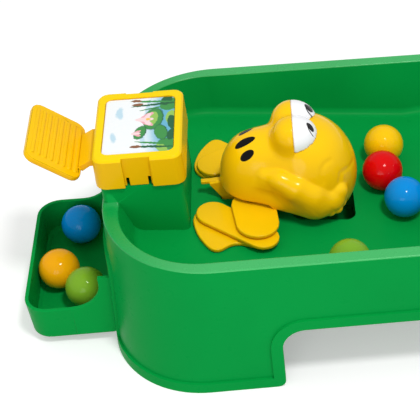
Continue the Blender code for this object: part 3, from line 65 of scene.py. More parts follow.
def srgb(red, green, blue):
    """Linear colour of a display colour given from 0 to 255."""
    values = []
    for value in (red, green, blue):
        share = value / 255
        values.append(share / 12.92 if share <= 0.04045 else ((share + 0.055) / 1.055) ** 2.4)
    return (*values, 1.0)


# Materials

GREEN = srgb(6, 156, 68)
# Painted shade: the darker green that faces turning down or sideways take, for the shade that falls on them
SHADED_GREEN = srgb(2, 132, 52)
# Painted highlight on the rim's top: pale green along the long sides for the sheen there, near the board's
# own green at the ends
RIM_END_GREEN = srgb(16, 160, 74)
RIM_SIDE_HIGHLIGHT_GREEN = srgb(66, 180, 100)
YELLOW = srgb(254, 202, 8)
# Painted shade for the yellow parts, on faces that turn down or sideways
SHADED_YELLOW = srgb(228, 150, 4)
# The cap's yellow is paler than the other yellow parts, a painted highlight for its lit top; its darker
# yellow is painted shade that grows as faces turn from straight up
CAP_HIGHLIGHT_YELLOW = srgb(255, 218, 14)
CAP_SHADED_YELLOW = srgb(224, 140, 0)
BLUE = srgb(16, 120, 205)
# Painted shade for the blue parts, the blue cap's too, on faces that turn down or sideways
SHADED_BLUE = srgb(6, 84, 168)
# Paler than the other blue parts: a painted highlight for the blue cap's lit top
CAP_HIGHLIGHT_BLUE = srgb(40, 140, 220)
EYE_WHITE = srgb(250, 250, 252)
PUPIL_BLACK = srgb(6, 6, 8)
SPOT_BLACK = srgb(6, 5, 6)
DARK_STEEL = srgb(150, 150, 155)
PALE_STEEL = srgb(200, 200, 204)
BALL_COLOURS = {
    "yellow": srgb(255, 203, 8),
    "orange": srgb(250, 175, 10),
    "red": srgb(224, 4, 8),
    "blue": srgb(4, 143, 224),
    "olive": srgb(128, 178, 45),
}
PLASTIC_IOR = 1.49
TINT = 0.035
GRAIN = 0.25
DRIFT_SCALE = 22.0
WEAR_SCALE = 160.0
WEAR_BELOW = 0.04
WEAR_ABOVE = 0.07
FLOW_SCALE = 60.0
FLOW_STRENGTH = 0.12
FLOW_DEPTH = 0.0004
GRAIN_SCALE = 2600.0
GRAIN_DEPTH = 0.00003
# How far a face looks up: from here down its painted shade is at its darkest
FULL_SHADE_UP = -0.7
# Distance from the middle of the board over which the rim's painted highlight fades from the side's pale
# colour to the end's
RIM_TURN = (0.112, 0.144)
# An ellipse is painted only on what lies less than this behind its centre
PAINT_DEPTH = 0.004


class Nodes:
    """Small helper that adds and links shader nodes."""

    def __init__(self, name, turned=False):
        self.material = bpy.data.materials.new(name)
        self.material.use_nodes = True
        self.tree = self.material.node_tree
        self.shader = self.tree.nodes["Principled BSDF"]
        self.output = self.tree.nodes["Material Output"]
        self.position = self.add("ShaderNodeTexCoord").outputs["Object"]
        if turned:
            self.position = self.vector("MULTIPLY", self.position, (-1.0, -1.0, 1.0))

    def add(self, kind, inputs=(), **settings):
        node = self.tree.nodes.new(kind)
        for key, value in settings.items():
            setattr(node, key, value)
        for key, value in dict(inputs).items():
            self.feed(key, value, node)
        return node

    def feed(self, key, value, node=None):
        """Links a socket to an input, or sets it to a value. Without a node it is the shader's input."""
        target = (node or self.shader).inputs[key]
        if isinstance(value, bpy.types.NodeSocket):
            self.tree.links.new(value, target)
        else:
            target.default_value = value

    def math(self, operation, *values):
        return self.add("ShaderNodeMath", dict(enumerate(values)), operation=operation).outputs[0]

    def vector(self, operation, *values):
        return self.add("ShaderNodeVectorMath", dict(enumerate(values)), operation=operation).outputs[0]

    def dot(self, vector, direction):
        node = self.add("ShaderNodeVectorMath", {0: vector, 1: direction}, operation="DOT_PRODUCT")
        return node.outputs["Value"]

    def offset(self, point):
        return self.vector("SUBTRACT", self.position, point)

    def noise(self, scale, detail=2.0, roughness=0.5):
        inputs = {"Vector": self.position, "Scale": scale, "Detail": detail, "Roughness": roughness}
        return self.add("ShaderNodeTexNoise", inputs).outputs["Fac"]

    def ramp(self, fac, low, high, start=0.0, end=1.0):
        inputs = {"Value": fac, "From Min": start, "From Max": end, "To Min": low, "To Max": high}
        return self.add("ShaderNodeMapRange", inputs).outputs[0]

    def mix(self, fac, first, second):
        """Sockets 0, 6 and 7 are the share and the two colours, and output 2 is the mixed colour."""
        return self.add("ShaderNodeMix", {0: fac, 6: first, 7: second}, data_type="RGBA").outputs[2]

    def bump(self, height, strength, depth, under=None):
        inputs = {"Height": height, "Strength": strength, "Distance": depth}
        if under is not None:
            inputs["Normal"] = under
        return self.add("ShaderNodeBump", inputs).outputs[0]

    def ellipse(self, centre, axes, radii, blur):
        """1 inside an ellipse, 0 outside, with a soft edge. The axes are long, short and facing."""
        away = self.offset(centre)
        u = self.math("DIVIDE", self.dot(away, axes[0]), radii[0])
        v = self.math("DIVIDE", self.dot(away, axes[1]), radii[1])
        far = self.math("ADD", self.math("MULTIPLY", u, u), self.math("MULTIPLY", v, v))
        inside = self.ramp(far, 1.0, 0.0, 1.0 - blur, 1.0 + blur)
        front = self.math("GREATER_THAN", self.dot(away, axes[2]), -PAINT_DEPTH)
        return self.math("MULTIPLY", inside, front)


def finish_plastic(made, colour, roughness, grain=GRAIN, tint=TINT):
    """Moulded plastic: faint colour drift, worn gloss, and a fine skin with soft flow marks."""
    dark = tuple(channel * (1 - tint) for channel in colour[:3]) + (1.0,)
    light = tuple(min(1.0, channel * (1 + tint)) for channel in colour[:3]) + (1.0,)
    base = made.mix(made.ramp(made.noise(DRIFT_SCALE, 3.0), 0.0, 1.0, 0.35, 0.65), dark, light)
    wear = made.noise(WEAR_SCALE, 4.0, 0.6)
    made.feed("Roughness", made.ramp(wear, roughness - WEAR_BELOW, roughness + WEAR_ABOVE, 0.3, 0.7))
    made.feed("IOR", PLASTIC_IOR)
    flow = made.bump(made.noise(FLOW_SCALE), FLOW_STRENGTH, FLOW_DEPTH)
    made.feed("Normal", made.bump(made.noise(GRAIN_SCALE), grain, GRAIN_DEPTH, flow))
    return base


def shaded(made, base, shade_colour, share, start_up):
    """Painted shade: the colour turns towards a darker one on the faces that turn down, for the shade that
    falls on them.
    """
    up = made.dot(made.add("ShaderNodeTexCoord").outputs["Normal"], (0.0, 0.0, 1.0))
    return made.mix(made.ramp(up, share, 0.0, FULL_SHADE_UP, start_up), base, shade_colour)


def plastic(name, colour, roughness, gloss, shade=None, grain=GRAIN):
    """Shade is the painted shade: its colour, the most of it that shows, and how far up the faces look where
    it starts.
    """
    made = Nodes(name)
    made.feed("Specular IOR Level", gloss)
    base = finish_plastic(made, colour, roughness, grain)
    made.feed("Base Color", shaded(made, base, *shade) if shade else base)
    return made.material


def rim_painted_highlight():
    """The rim with a painted highlight: paler along the long sides than on the ends, for the sheen on its
    top.
    """
    made = Nodes("rim_highlight_green")
    made.feed("Specular IOR Level", 0.3)
    base = finish_plastic(made, RIM_SIDE_HIGHLIGHT_GREEN, 0.26)
    along = made.math("ABSOLUTE", made.dot(made.position, (1.0, 0.0, 0.0)))
    made.feed("Base Color", made.mix(made.ramp(along, 0.0, 1.0, *RIM_TURN), base, RIM_END_GREEN))
    return made.material


def make_steel():
    made = Nodes("steel")
    made.feed("Metallic", 1.0)
    made.feed("Base Color", made.mix(made.noise(300.0), DARK_STEEL, PALE_STEEL))
    made.feed("Roughness", made.ramp(made.noise(900.0, 3.0), 0.22, 0.42))
    return made.material


def paint(thing, *materials):
    thing.data.materials.clear()
    for material in materials:
        thing.data.materials.append(material)


# The second colour in each shade is painted shade for the faces that turn down or sideways
green = plastic("board_green", GREEN, 0.30, 0.025, (SHADED_GREEN, 0.55, 0.35))
# The rim's material, with its painted highlight
rim_highlight_green = rim_painted_highlight()
moulded = {
    "a": plastic("moulded_yellow", YELLOW, 0.18, 0.12, (SHADED_YELLOW, 0.85, 0.8)),
    "b": plastic("moulded_blue", BLUE, 0.18, 0.12, (SHADED_BLUE, 0.85, 0.8)),
}
# The caps' materials carry a painted highlight on top and painted shade down their sides
cap_light_and_shade_paint = {
    "a": plastic("cap_yellow_painted_light", CAP_HIGHLIGHT_YELLOW, 0.20, 0.10, (CAP_SHADED_YELLOW, 0.85, 1.0)),
    "b": plastic("cap_blue_painted_light", CAP_HIGHLIGHT_BLUE, 0.20, 0.2, (SHADED_BLUE, 0.85, 0.9)),
}
ball_paint = {}
for name, colour in BALL_COLOURS.items():
    ball_paint[name] = plastic(f"ball_{name}", colour, 0.07, 0.16, grain=0.1)
steel = make_steel()


# Shapes from distances

# Passes that move the points of a skin onto its surface, and the least square of a slope that they take
SKIN_PASSES = 3
LEAST_SLOPE = 0.05

def soft_min(first, second, reach):
    """Union of two distances with a soft valley between them."""
    share = np.clip(0.5 + 0.5 * (second - first) / reach, 0.0, 1.0)
    return second * (1 - share) + first * share - reach * share * (1 - share)


def soft_max(first, second, reach):
    return -soft_min(-first, -second, reach)


def to_ellipsoid(points, centre, radii):
    away = points - np.array(centre)
    radii = np.array(radii)
    near = np.linalg.norm(away / radii, axis=1)
    steep = np.linalg.norm(away / radii**2, axis=1)
    return near * (near - 1) / np.maximum(steep, 1e-9)


def to_cone(points, first, second):
    """Distance to a rod whose radius changes evenly along it. Each end is a place and a radius."""
    (start, start_radius), (end, end_radius) = first, second
    start, end = np.array(start), np.array(end)
    along = end - start
    share = np.clip((points - start) @ along / (along @ along), 0.0, 1.0)
    near = start + share[:, None] * along
    return np.linalg.norm(points - near, axis=1) - (start_radius + (end_radius - start_radius) * share)


def gradient(distance, points, step):
    slopes = []
    for axis in range(3):
        shift = np.zeros(3)
        shift[axis] = step
        slopes.append((distance(points + shift) - distance(points - shift)) / (2 * step))
    return np.stack(slopes, axis=1)


def skin(name, distance, low, high, step):
    """Closed mesh where the distance is 0: surface nets on a grid, then each point moves onto it."""
    axes = [np.arange(a, b + step, step) for a, b in zip(low, high)]
    grid = np.stack(np.meshgrid(*axes, indexing="ij"), axis=-1)
    value = distance(grid.reshape(-1, 3)).reshape(grid.shape[:3])
    shape = np.array(value.shape) - 1
    corners = [(i, j, k) for i in (0, 1) for j in (0, 1) for k in (0, 1)]

    def at(corner):
        return tuple(slice(corner[n], corner[n] + shape[n]) for n in range(3))

    signs = np.stack([value[at(corner)] < 0 for corner in corners])
    mixed = signs.any(axis=0) & ~signs.all(axis=0)
    index = -np.ones(shape, dtype=int)
    index[mixed] = np.arange(mixed.sum())
    total = np.zeros((mixed.sum(), 3))
    count = np.zeros(mixed.sum())
    for first in corners:
        for axis in range(3):
            if first[axis]:
                continue
            second = tuple(1 if n == axis else first[n] for n in range(3))
            a, b = value[at(first)][mixed], value[at(second)][mixed]
            crossed = (a < 0) != (b < 0)
            share = np.where(crossed, a / np.where(crossed, a - b, 1.0), 0.0)
            place = np.array(first, float) + share[:, None] * (np.array(second) - np.array(first))
            total += np.where(crossed[:, None], place, 0.0)
            count += crossed
    cells = np.argwhere(mixed)
    points = np.array(low) + step * (cells + total / count[:, None])
    faces = []
    for axis in range(3):
        u, v = [n for n in range(3) if n != axis]
        near = [slice(1, shape[n]) for n in range(3)]
        near[axis] = slice(0, shape[axis])
        ahead = list(near)
        ahead[axis] = slice(1, shape[axis] + 1)
        a, b = value[tuple(near)] < 0, value[tuple(ahead)] < 0
        for flip in (False, True):
            where = np.argwhere(a & ~b if flip else b & ~a)
            if not len(where):
                continue
            where[:, u] += 1
            where[:, v] += 1
            ring = []
            for du, dv in ((1, 1), (0, 1), (0, 0), (1, 0)):
                cell = where.copy()
                cell[:, u] -= du
                cell[:, v] -= dv
                ring.append(index[tuple(cell.T)])
            quad = np.stack(ring, axis=1)
            turned = flip if axis != 1 else not flip
            faces.append(quad[:, ::-1] if turned else quad)
    for _ in range(SKIN_PASSES):
        slope = gradient(distance, points, step / 10)
        size = np.maximum((slope**2).sum(axis=1), LEAST_SLOPE)
        move = (distance(points) / size)[:, None] * slope
        points -= np.clip(move, -step / 2, step / 2)
    mesh = bpy.data.meshes.new(name)
    mesh.from_pydata(points.tolist(), [], np.concatenate(faces).tolist())
    return smooth_object(name, mesh)


def smooth_object(name, data):
    data.shade_smooth()
    thing = bpy.data.objects.new(name, data)
    bpy.context.scene.collection.objects.link(thing)
    return thing


def mesh_object(name, mesh):
    """Object from a bmesh, with its faces turned outwards."""
    bmesh.ops.recalc_face_normals(mesh, faces=mesh.faces)
    data = bpy.data.meshes.new(name)
    mesh.to_mesh(data)
    mesh.free()
    return smooth_object(name, data)


def copy_to_b(thing, name):
    """The same piece at end b."""
    other = thing.copy()
    other.data = thing.data.copy()
    other.name = name
    other.data.name = name
    other.data.transform(HALF_TURN)
    bpy.context.scene.collection.objects.link(other)
    return other


# Frog

BODY_CENTRE = (-0.0768, 0.0, 0.0626)
BODY_RADII = (0.0186, 0.0171, 0.0263)
BODY_LEAN = 0.053
HEAD_CENTRE = (-0.0529, 0.0, 0.0666)
HEAD_RADII = (0.0234, 0.0232, 0.0284)
HEAD_LEAN = 0.196
NECK_BLEND = 0.0104
EYE_CENTRE = (-0.0588, 0.0059, 0.0903)
EYE_RADIUS = 0.0100
EYE_FRONT = 0.0117
EYE_DEPTH = 0.0002
LID_BLEND = 0.0034
SEAM_BLEND = 0.0001
SEAM_GAP = 0.00005
# Places along an arm, from the shoulder to the wrist, with the arm's radius at each
ARM = (
    ((-0.0729, 0.0151, 0.0744), 0.0034),
    ((-0.0660, 0.0182, 0.0745), 0.0045),
    ((-0.0590, 0.0205, 0.0710), 0.0057),
    ((-0.0525, 0.0204, 0.0658), 0.0065),
    ((-0.0500, 0.0192, 0.0608), 0.0069),
    ((-0.0432, 0.0172, 0.0611), 0.0070),
)
ARM_BLEND = 0.0045
THUMB = ((-0.0398, 0.0167, 0.0646), 0.0051)
THUMB_BLEND = 0.0015
FINGER_TIPS = ((-0.0388, 0.0176, 0.0578), (-0.0404, 0.0203, 0.0562), (-0.0436, 0.0214, 0.0560))
FINGER_RADIUS = 0.0025
FINGER_BLEND = 0.0005
# Rod that fills the body out under an arm
SKIRT = (((-0.0680, 0.0120, 0.0610), 0.0068), ((-0.0520, 0.0172, 0.0590), 0.0070))
SKIRT_BLEND = 0.0060
# The blend between arm and body is soft under the arm, tight over it, and softer again behind the shoulder
CREASE_HEIGHTS = (-0.0040, 0.0005)
CREASE_BLENDS = (0.0042, 0.0007)
SHOULDER_X = (-0.0738, -0.0660)
SHOULDER_BLEND = 0.0020
CHEEK_LINE = (
    (-0.0424, 0.0156, 0.0820),
    (-0.0450, 0.0174, 0.0817),
    (-0.0469, 0.0192, 0.0799),
    (-0.0473, 0.0205, 0.0770),
    (-0.0465, 0.0213, 0.0738),
)
MOUTH_LINE = (
    (-0.0314, 0.0065, 0.0730),
    (-0.0336, 0.0111, 0.0734),
    (-0.0380, 0.0162, 0.0744),
    (-0.0388, 0.0179, 0.0707),
)
GROOVE_WIDTH = 0.0012
GROOVE_DEPTH = 0.0003
# Height of the open lower edge over the floor at places along X
EDGE_LINE = ((-0.0725, 0.0098), (-0.0712, 0.0080), (-0.0520, 0.0045))
EDGE_BLEND = 0.0006
SHELL_SPACE = ((-0.0970, -0.0300, 0.0400), (-0.0250, 0.0300, 0.1040))
EYES_SPACE = ((-0.0610, -0.0170, 0.0780), (-0.0440, 0.0170, 0.1030))
# Centre, direction of the long axis, facing, and the long and short radius
BACK_SPOTS = (
    ((-0.0816, -0.0039, 0.0872), (0.898, 0.128, 0.412), (-0.26, -0.22, 0.94), (0.0054, 0.0020)),
    ((-0.0808, -0.0094, 0.0836), (0.826, 0.155, 0.542), (-0.27, -0.63, 0.72), (0.0038, 0.0021)),
    ((-0.0811, 0.0039, 0.0879), (0.860, 0.490, 0.140), (-0.26, 0.22, 0.94), (0.0038, 0.0021)),
)
PUPILS = (
    ((-0.0506, -0.0082, 0.0965), (0.55, -0.46, -0.70), (0.62, -0.53, 0.58), (0.0026, 0.0015)),
    ((-0.0504, 0.0061, 0.0969), (0.58, -0.42, -0.70), (0.66, -0.10, 0.75), (0.0026, 0.0023)),
)
# The line under a pupil lies between two ellipses, all in shares of the pupil's radii: how far down they are,
# their radii, and where the line fades out sideways and downwards
LINE_DROP = 0.63
LINE_OUTER = (1.46, 1.46)
LINE_INNER = (1.42, 1.15)
LINE_SIDE = (-0.6, -0.4)
LINE_END = (1.6, 1.7)


def mirrored(points):
    return np.column_stack([points[:, 0], np.abs(points[:, 1]), points[:, 2]])


def leaning(points, centre, lean):
    """Points in the frame of a form that leans back about Y."""
    away = points - np.array(centre)
    x = away[:, 0] * math.cos(lean) + away[:, 2] * math.sin(lean)
    z = away[:, 2] * math.cos(lean) - away[:, 0] * math.sin(lean)
    return np.column_stack([x, away[:, 1], z])


def torso(points):
    body = to_ellipsoid(leaning(points, BODY_CENTRE, BODY_LEAN), (0, 0, 0), BODY_RADII)
    head = to_ellipsoid(leaning(points, HEAD_CENTRE, HEAD_LEAN), (0, 0, 0), HEAD_RADII)
    return soft_min(body, head, NECK_BLEND)


def arms(points):
    arm = None
    for start, end in zip(ARM, ARM[1:]):
        rod = to_cone(points, start, end)
        arm = rod if arm is None else soft_min(arm, rod, ARM_BLEND)
    wrist, radius = ARM[-1]
    arm = soft_min(arm, to_cone(points, ARM[-1], THUMB), THUMB_BLEND)
    for tip in FINGER_TIPS:
        arm = soft_min(arm, to_cone(points, (wrist, radius / 3), (tip, FINGER_RADIUS)), FINGER_BLEND)
    return arm


def groove(points, line):
    """How deep a fine line is sunk at each point."""
    near = np.full(len(points), 1.0)
    for start, end in zip(line, line[1:]):
        near = np.minimum(near, to_cone(points, (start, 0.0), (end, 0.0)))
    return GROOVE_DEPTH * np.exp(-((near / GROOVE_WIDTH) ** 2))


def frog_form(points):
    """Outer form of body, head, arms and the lids behind the eyes' seam."""
    points = mirrored(points)
    form = torso(points)
    lid = to_ellipsoid(points, EYE_CENTRE, (EYE_RADIUS,) * 3)
    with_lid = soft_min(form, lid, LID_BLEND)
    behind = points[:, 0] - EYE_CENTRE[0]
    form = np.minimum(form, soft_max(with_lid, behind, SEAM_BLEND))
    form = soft_min(form, to_cone(points, *SKIRT), SKIRT_BLEND)
    middle = np.interp(points[:, 0], [place[0] for place, _ in ARM], [place[2] for place, _ in ARM])
    crease = np.interp(points[:, 2] - middle, CREASE_HEIGHTS, CREASE_BLENDS)
    crease = crease + np.interp(points[:, 0], SHOULDER_X, (SHOULDER_BLEND, 0.0))
    form = soft_min(form, arms(points), crease)
    return form + groove(points, CHEEK_LINE) + groove(points, MOUTH_LINE)


def lower_edge(points):
    """Distance below the frog's open lower edge."""
    x = points[:, 0]
    rise = np.interp(x, [place for place, _ in EDGE_LINE], [up for _, up in EDGE_LINE])
    return floor_height(x) + rise - points[:, 2]


def frog_shell(points):
    form = frog_form(points)
    hollow = np.maximum(form, -(form + FROG_WALL))
    return soft_max(hollow, lower_edge(points), EDGE_BLEND)


def eyes(points):
    points = mirrored(points)
    form = to_ellipsoid(points, EYE_CENTRE, (EYE_FRONT, EYE_RADIUS, EYE_RADIUS))
    front = EYE_CENTRE[0] + SEAM_GAP - points[:, 0]
    return soft_max(np.maximum(form, EYE_DEPTH - torso(points)), front, SEAM_BLEND)


def square_axes(long_axis, facing):
    """Long, short and facing axis, all square to each other."""
    long_axis = Vector(long_axis).normalized()
    facing = Vector(facing)
    facing = (facing - facing.dot(long_axis) * long_axis).normalized()
    return long_axis, facing.cross(long_axis), facing


def spotted(name, colour, shade_colour, turned):
    """Moulded plastic with painted shade on the faces that turn down, and the three black spots on the frog's
    back.
    """
    made = Nodes(name, turned)
    made.feed("Specular IOR Level", 0.2)
    base = shaded(made, finish_plastic(made, colour, 0.14), shade_colour, 0.75, 0.75)
    for centre, long_axis, facing, radii in BACK_SPOTS:
        base = made.mix(made.ellipse(centre, square_axes(long_axis, facing), radii, 0.05), base, SPOT_BLACK)
    made.feed("Base Color", base)
    return made.material


def eye_paint(name, turned):
    """White plastic with a black pupil and a thin curved line under it on each eye."""
    made = Nodes(name, turned)
    base = finish_plastic(made, EYE_WHITE, 0.2, 0.1, 0.01)
    for centre, long_axis, facing, radii in PUPILS:
        axes = square_axes(long_axis, facing)
        long, short = radii
        pupil = made.ellipse(centre, axes, radii, 0.08)
        lower = Vector(centre) + LINE_DROP * long * axes[0]
        outer = made.ellipse(lower, axes, (LINE_OUTER[0] * long, LINE_OUTER[1] * short), 0.05)
        inner = made.ellipse(lower, axes, (LINE_INNER[0] * long, LINE_INNER[1] * short), 0.05)
        aside = made.dot(made.offset(centre), axes[1])
        below = made.dot(made.offset(centre), axes[0])
        side = made.ramp(aside, 1.0, 0.0, LINE_SIDE[0] * short, LINE_SIDE[1] * short)
        end = made.ramp(below, 1.0, 0.0, LINE_END[0] * long, LINE_END[1] * long)
        line = made.math("MULTIPLY", made.math("SUBTRACT", outer, inner), made.math("MULTIPLY", side, end))
        base = made.mix(made.math("MAXIMUM", pupil, line), base, PUPIL_BLACK)
    made.feed("Base Color", base)
    return made.material


def make_frogs():
    step = 0.0007
    shell = skin("frog_moulding_a", frog_shell, *SHELL_SPACE, step)
    white = skin("frog_eye_moulding_a", eyes, *EYES_SPACE, step)
    # Each frog's colour with its painted shade
    colours = {"a": (YELLOW, SHADED_YELLOW), "b": (BLUE, SHADED_BLUE)}
    for side, player in PLAYERS.items():
        at_b = side == "b"
        if at_b:
            shell = copy_to_b(shell, "frog_moulding_b")
            white = copy_to_b(white, "frog_eye_moulding_b")
        paint(shell, spotted(f"frog_{player}", *colours[side], at_b))
        paint(white, eye_paint(f"eye_white_{side}", at_b))
        for piece, node in ((shell, f"frog_shell_{side}"), (white, f"frog_eyes_{side}")):
            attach(piece, f"frog_{side}")
            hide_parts(node)


make_frogs()


# Balls

BALL_SEGMENTS = 48
BALL_RINGS = 32


def make_balls():
    for name in nodes:
        if "_ball_" not in name:
            continue
        low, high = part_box(name)
        mesh = bmesh.new()
        bmesh.ops.create_uvsphere(mesh, u_segments=BALL_SEGMENTS, v_segments=BALL_RINGS, radius=BALL_RADIUS)
        bmesh.ops.translate(mesh, vec=(low + high) / 2, verts=mesh.verts)
        ball = mesh_object(name.replace("_ball_", "_marble_"), mesh)
        colour = name.split("_ball_")[1].split("_")[0]
        paint(ball, ball_paint[colour])
        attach(ball, name + "_body")
        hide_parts(name)


make_balls()


# Carried-over nodes

WELD_DISTANCE = 0.00001
FLAT_ANGLE = math.radians(0.4)
ROUNDED_ANGLE = math.radians(28.0)
ROUNDED_SEGMENTS = 3
LEG_EDGE = 0.0006
EDGES = {
    "housing_cap": 0.0003,
    "catch_tray": 0.00025,
    "press_lever": 0.0004,
    "drive_slide": 0.0003,
    "ball_chute": 0.0004,
    "slide_cover": 0.0003,
}
for part in ("foot", "shin", "thigh"):
    EDGES[f"left_{part}"] = LEG_EDGE
    EDGES[f"right_{part}"] = LEG_EDGE
# Dissolving their flat facets would tear the cap's snap slots and mark the tray's wall
KEPT_FACETS = ("housing_cap", "catch_tray")
REPLACED = ("picture_card", "frog_shell", "frog_eyes")
GREEN_KINDS = ("ball_chute", "catch_tray", "slide_cover")
STEEL_KINDS = ("lever_pin", "frog_pin", "return_spring", "left_screw", "right_screw")


def rounded(thing, width, dissolve):
    """Joins split points, clears flat facets, rounds the edges and evens out the shading."""
    weld = thing.modifiers.new("weld", "WELD")
    weld.merge_threshold = WELD_DISTANCE
    if dissolve:
        flat = thing.modifiers.new("flat", "DECIMATE")
        flat.decimate_type = "DISSOLVE"
        flat.angle_limit = FLAT_ANGLE
    bevel = thing.modifiers.new("bevel", "BEVEL")
    bevel.width = width
    bevel.segments = ROUNDED_SEGMENTS
    bevel.limit_method = "ANGLE"
    bevel.angle_limit = ROUNDED_ANGLE
    bevel.use_clamp_overlap = False
    normals = thing.modifiers.new("normals", "WEIGHTED_NORMAL")
    normals.keep_sharp = False


def dress_nodes():
    for name, node in nodes.items():
        kind, side = name[:-2], name[-1]
        if name == "game_board" or "_ball_" in name or kind in REPLACED:
            continue
        if kind in GREEN_KINDS:
            paint(node, green)
        elif kind in STEEL_KINDS:
            paint(node, steel)
        # The caps take their paler colours, with painted highlight and painted shade
        elif kind == "housing_cap":
            paint(node, cap_light_and_shade_paint[side])
        else:
            paint(node, moulded[side])
        if kind in EDGES:
            rounded(node, EDGES[kind], kind not in KEPT_FACETS)


dress_nodes()


# Board

BOARD_LENGTH = 0.2966
BOARD_WIDTH = 0.1532
RIM_HEIGHT = 0.0745
RIM_CORNER_RADIUS = 0.0510
RIM_EDGE = 0.0008
RIM_BAND_END = 0.0076
RIM_BAND_SIDE = 0.0064
WALL = 0.0024
FOOT_SPREAD_END = 0.0029
FOOT_SPREAD_SIDE = 0.0019
FOOT_CORNER_RADIUS = 0.0450
LIP_HEIGHT = 0.0055
LIP_DEPTH = 0.0013
ARENA_CORNER_RADIUS = 0.0400
ARENA_TAPER_END = 0.0050
ARENA_TAPER_SIDE = 0.0034
FLOOR_FILLET = 0.0040
ARCH_WIDTH = 0.1420
ARCH_HEIGHT = 0.0358
ARCH_RADIUS = 0.0110
FOOT_TOE_RADIUS = 0.0040
CAP_LENGTH = 0.0406
CAP_WIDTH = 0.0530
CAP_OUTER_X = -0.1494
TOWER_RISE = 0.0087
TOWER_INSET = 0.0015
TOWER_CORNER_RADIUS = 0.0030
LEVER_AXIS_X = -0.1370
LEVER_RISE = 0.0048
LEVER_TRAVEL = math.radians(26.0)
NECK_WIDTH = 0.0240
NECK_THICKNESS = 0.0034
HUB_RADIUS = 0.0032
PIN_RADIUS = 0.0015
PIN_CLEARANCE = 0.0001
BRACKET_THICKNESS = 0.0022
DRIVE_ARM_THICKNESS = 0.0040
DRIVE_PEG_RADIUS = 0.0020
SLIDE_TRAVEL = 0.0151
SLIDE_WIDTH = 0.0120
SLIDE_THICKNESS = 0.0020
FORK_CLEARANCE = 0.0008
FORK_THICKNESS = 0.0022
POST_WIDTH = 0.0046
POST_LENGTH = 0.0070
POST_X = -0.0920
COVER_START_X = -0.0930
COVER_END_X = -0.0700
COVER_THICKNESS = 0.0016
SCREW_X = -0.0815
SCREW_Y = 0.0124
SCREW_RADIUS = 0.0011
SCREW_BOSS_RADIUS = 0.0030
SPRING_FIXED_X = -0.1425
SPRING_POST_RADIUS = 0.0012
SPRING_RADIUS = 0.0022
SPRING_WIRE = 0.0006
HOLE_START_X = -0.0620
HOLE_END_X = -0.0315
HOLE_WIDTH = 0.0364
HOLE_CORNER_RADIUS = 0.0050
CHUTE_WIDTH = 0.0270
CHUTE_LOW_Z = 0.0082
CHUTE_WALL = 0.0016
TRAY_WIDTH = 0.0814
TRAY_FLANGE_Z = 0.0422
TRAY_WALL = 0.0018
RAIL_THICKNESS = 0.0023
RAIL_TOP_Z = 0.0590
RAIL_CORNER_RADIUS = 0.0150
WINDOW_TOP_Z = 0.0330
LEG_PEG_RADIUS = 0.0018
LEG_PEG_CLEARANCE = 0.0003
ANKLE = (-0.1024, 0.0165)
TOE_PEG = (-0.0778, 0.0360)
FIT_GAP = 0.0003
RUN_GAP = 0.0005
OVERRUN = 0.0050
BOARD_ARC_STEPS = 24
SMALL_ARC_STEPS = 8
ROUND_STEPS = 24
BORE_STEPS = 12
POST_STEPS = 10
FILLET_STEPS = 6
HALF_LENGTH = BOARD_LENGTH / 2
HALF_WIDTH = BOARD_WIDTH / 2
# Beyond the board along X and along Y
FAR_X = HALF_LENGTH + FOOT_SPREAD_END + LIP_DEPTH + OVERRUN
FAR_Y = HALF_WIDTH + FOOT_SPREAD_SIDE + LIP_DEPTH + OVERRUN
CAP_CENTRE_X = CAP_OUTER_X + CAP_LENGTH / 2
TOWER_FRONT_X = CAP_OUTER_X + CAP_LENGTH - TOWER_INSET
TOWER_HEIGHT = RIM_HEIGHT + TOWER_RISE
LEVER_AXIS_Z = TOWER_HEIGHT + LEVER_RISE
# At end a, x runs along the sloping floor to the board's middle in this frame, and z stands square to it
FLOOR_FRAME = Matrix.Translation((0.0, 0.0, FLOOR_LOW_HEIGHT)) @ Matrix.Rotation(FLOOR_SLOPE, 4, "Y")
SLIDE_TOP = -WALL - RUN_GAP
DRIVE_PEG_Z = floor_height(LEVER_AXIS_X) - WALL - RUN_GAP - SLIDE_THICKNESS / 2
DRIVE_PEG_LEVEL = (FLOOR_FRAME.inverted() @ Vector((LEVER_AXIS_X, 0.0, DRIVE_PEG_Z))).z
FORK_LOW = DRIVE_PEG_LEVEL - DRIVE_PEG_RADIUS - FORK_CLEARANCE - FORK_THICKNESS
SPRING_LEVEL = FORK_LOW - SPRING_RADIUS - SPRING_WIRE - RUN_GAP
# Edges that the Booleans leave: how close points are joined, which edges are rounded and how far
JOIN_DISTANCE = 0.00001
SHARP_ANGLE = math.radians(35)
EDGE_WIDTH = 0.0004
EDGE_SEGMENTS = 2
# Faces of the rim, which take its painted highlight, look up at least this much
RIM_UP = 0.2


def outline(half_x, half_y, radius, centre_x=0.0, steps=SMALL_ARC_STEPS):
    """Rounded rectangle, counter-clockwise, with a point in the middle of each side that runs along X."""
    radius = min(radius, half_x, half_y)
    points = []
    for turn, sign_x, sign_y in ((0, 1, 1), (1, -1, 1), (2, -1, -1), (3, 1, -1)):
        for step in range(steps + 1):
            angle = math.pi / 2 * (turn + step / steps)
            x = sign_x * (half_x - radius) + radius * math.cos(angle)
            y = sign_y * (half_y - radius) + radius * math.sin(angle)
            points.append((centre_x + x, y))
        if turn in (0, 2):
            points.append((centre_x, sign_y * half_y))
    return points


def at_height(points, z):
    return [Vector((x, y, z)) for x, y in points]


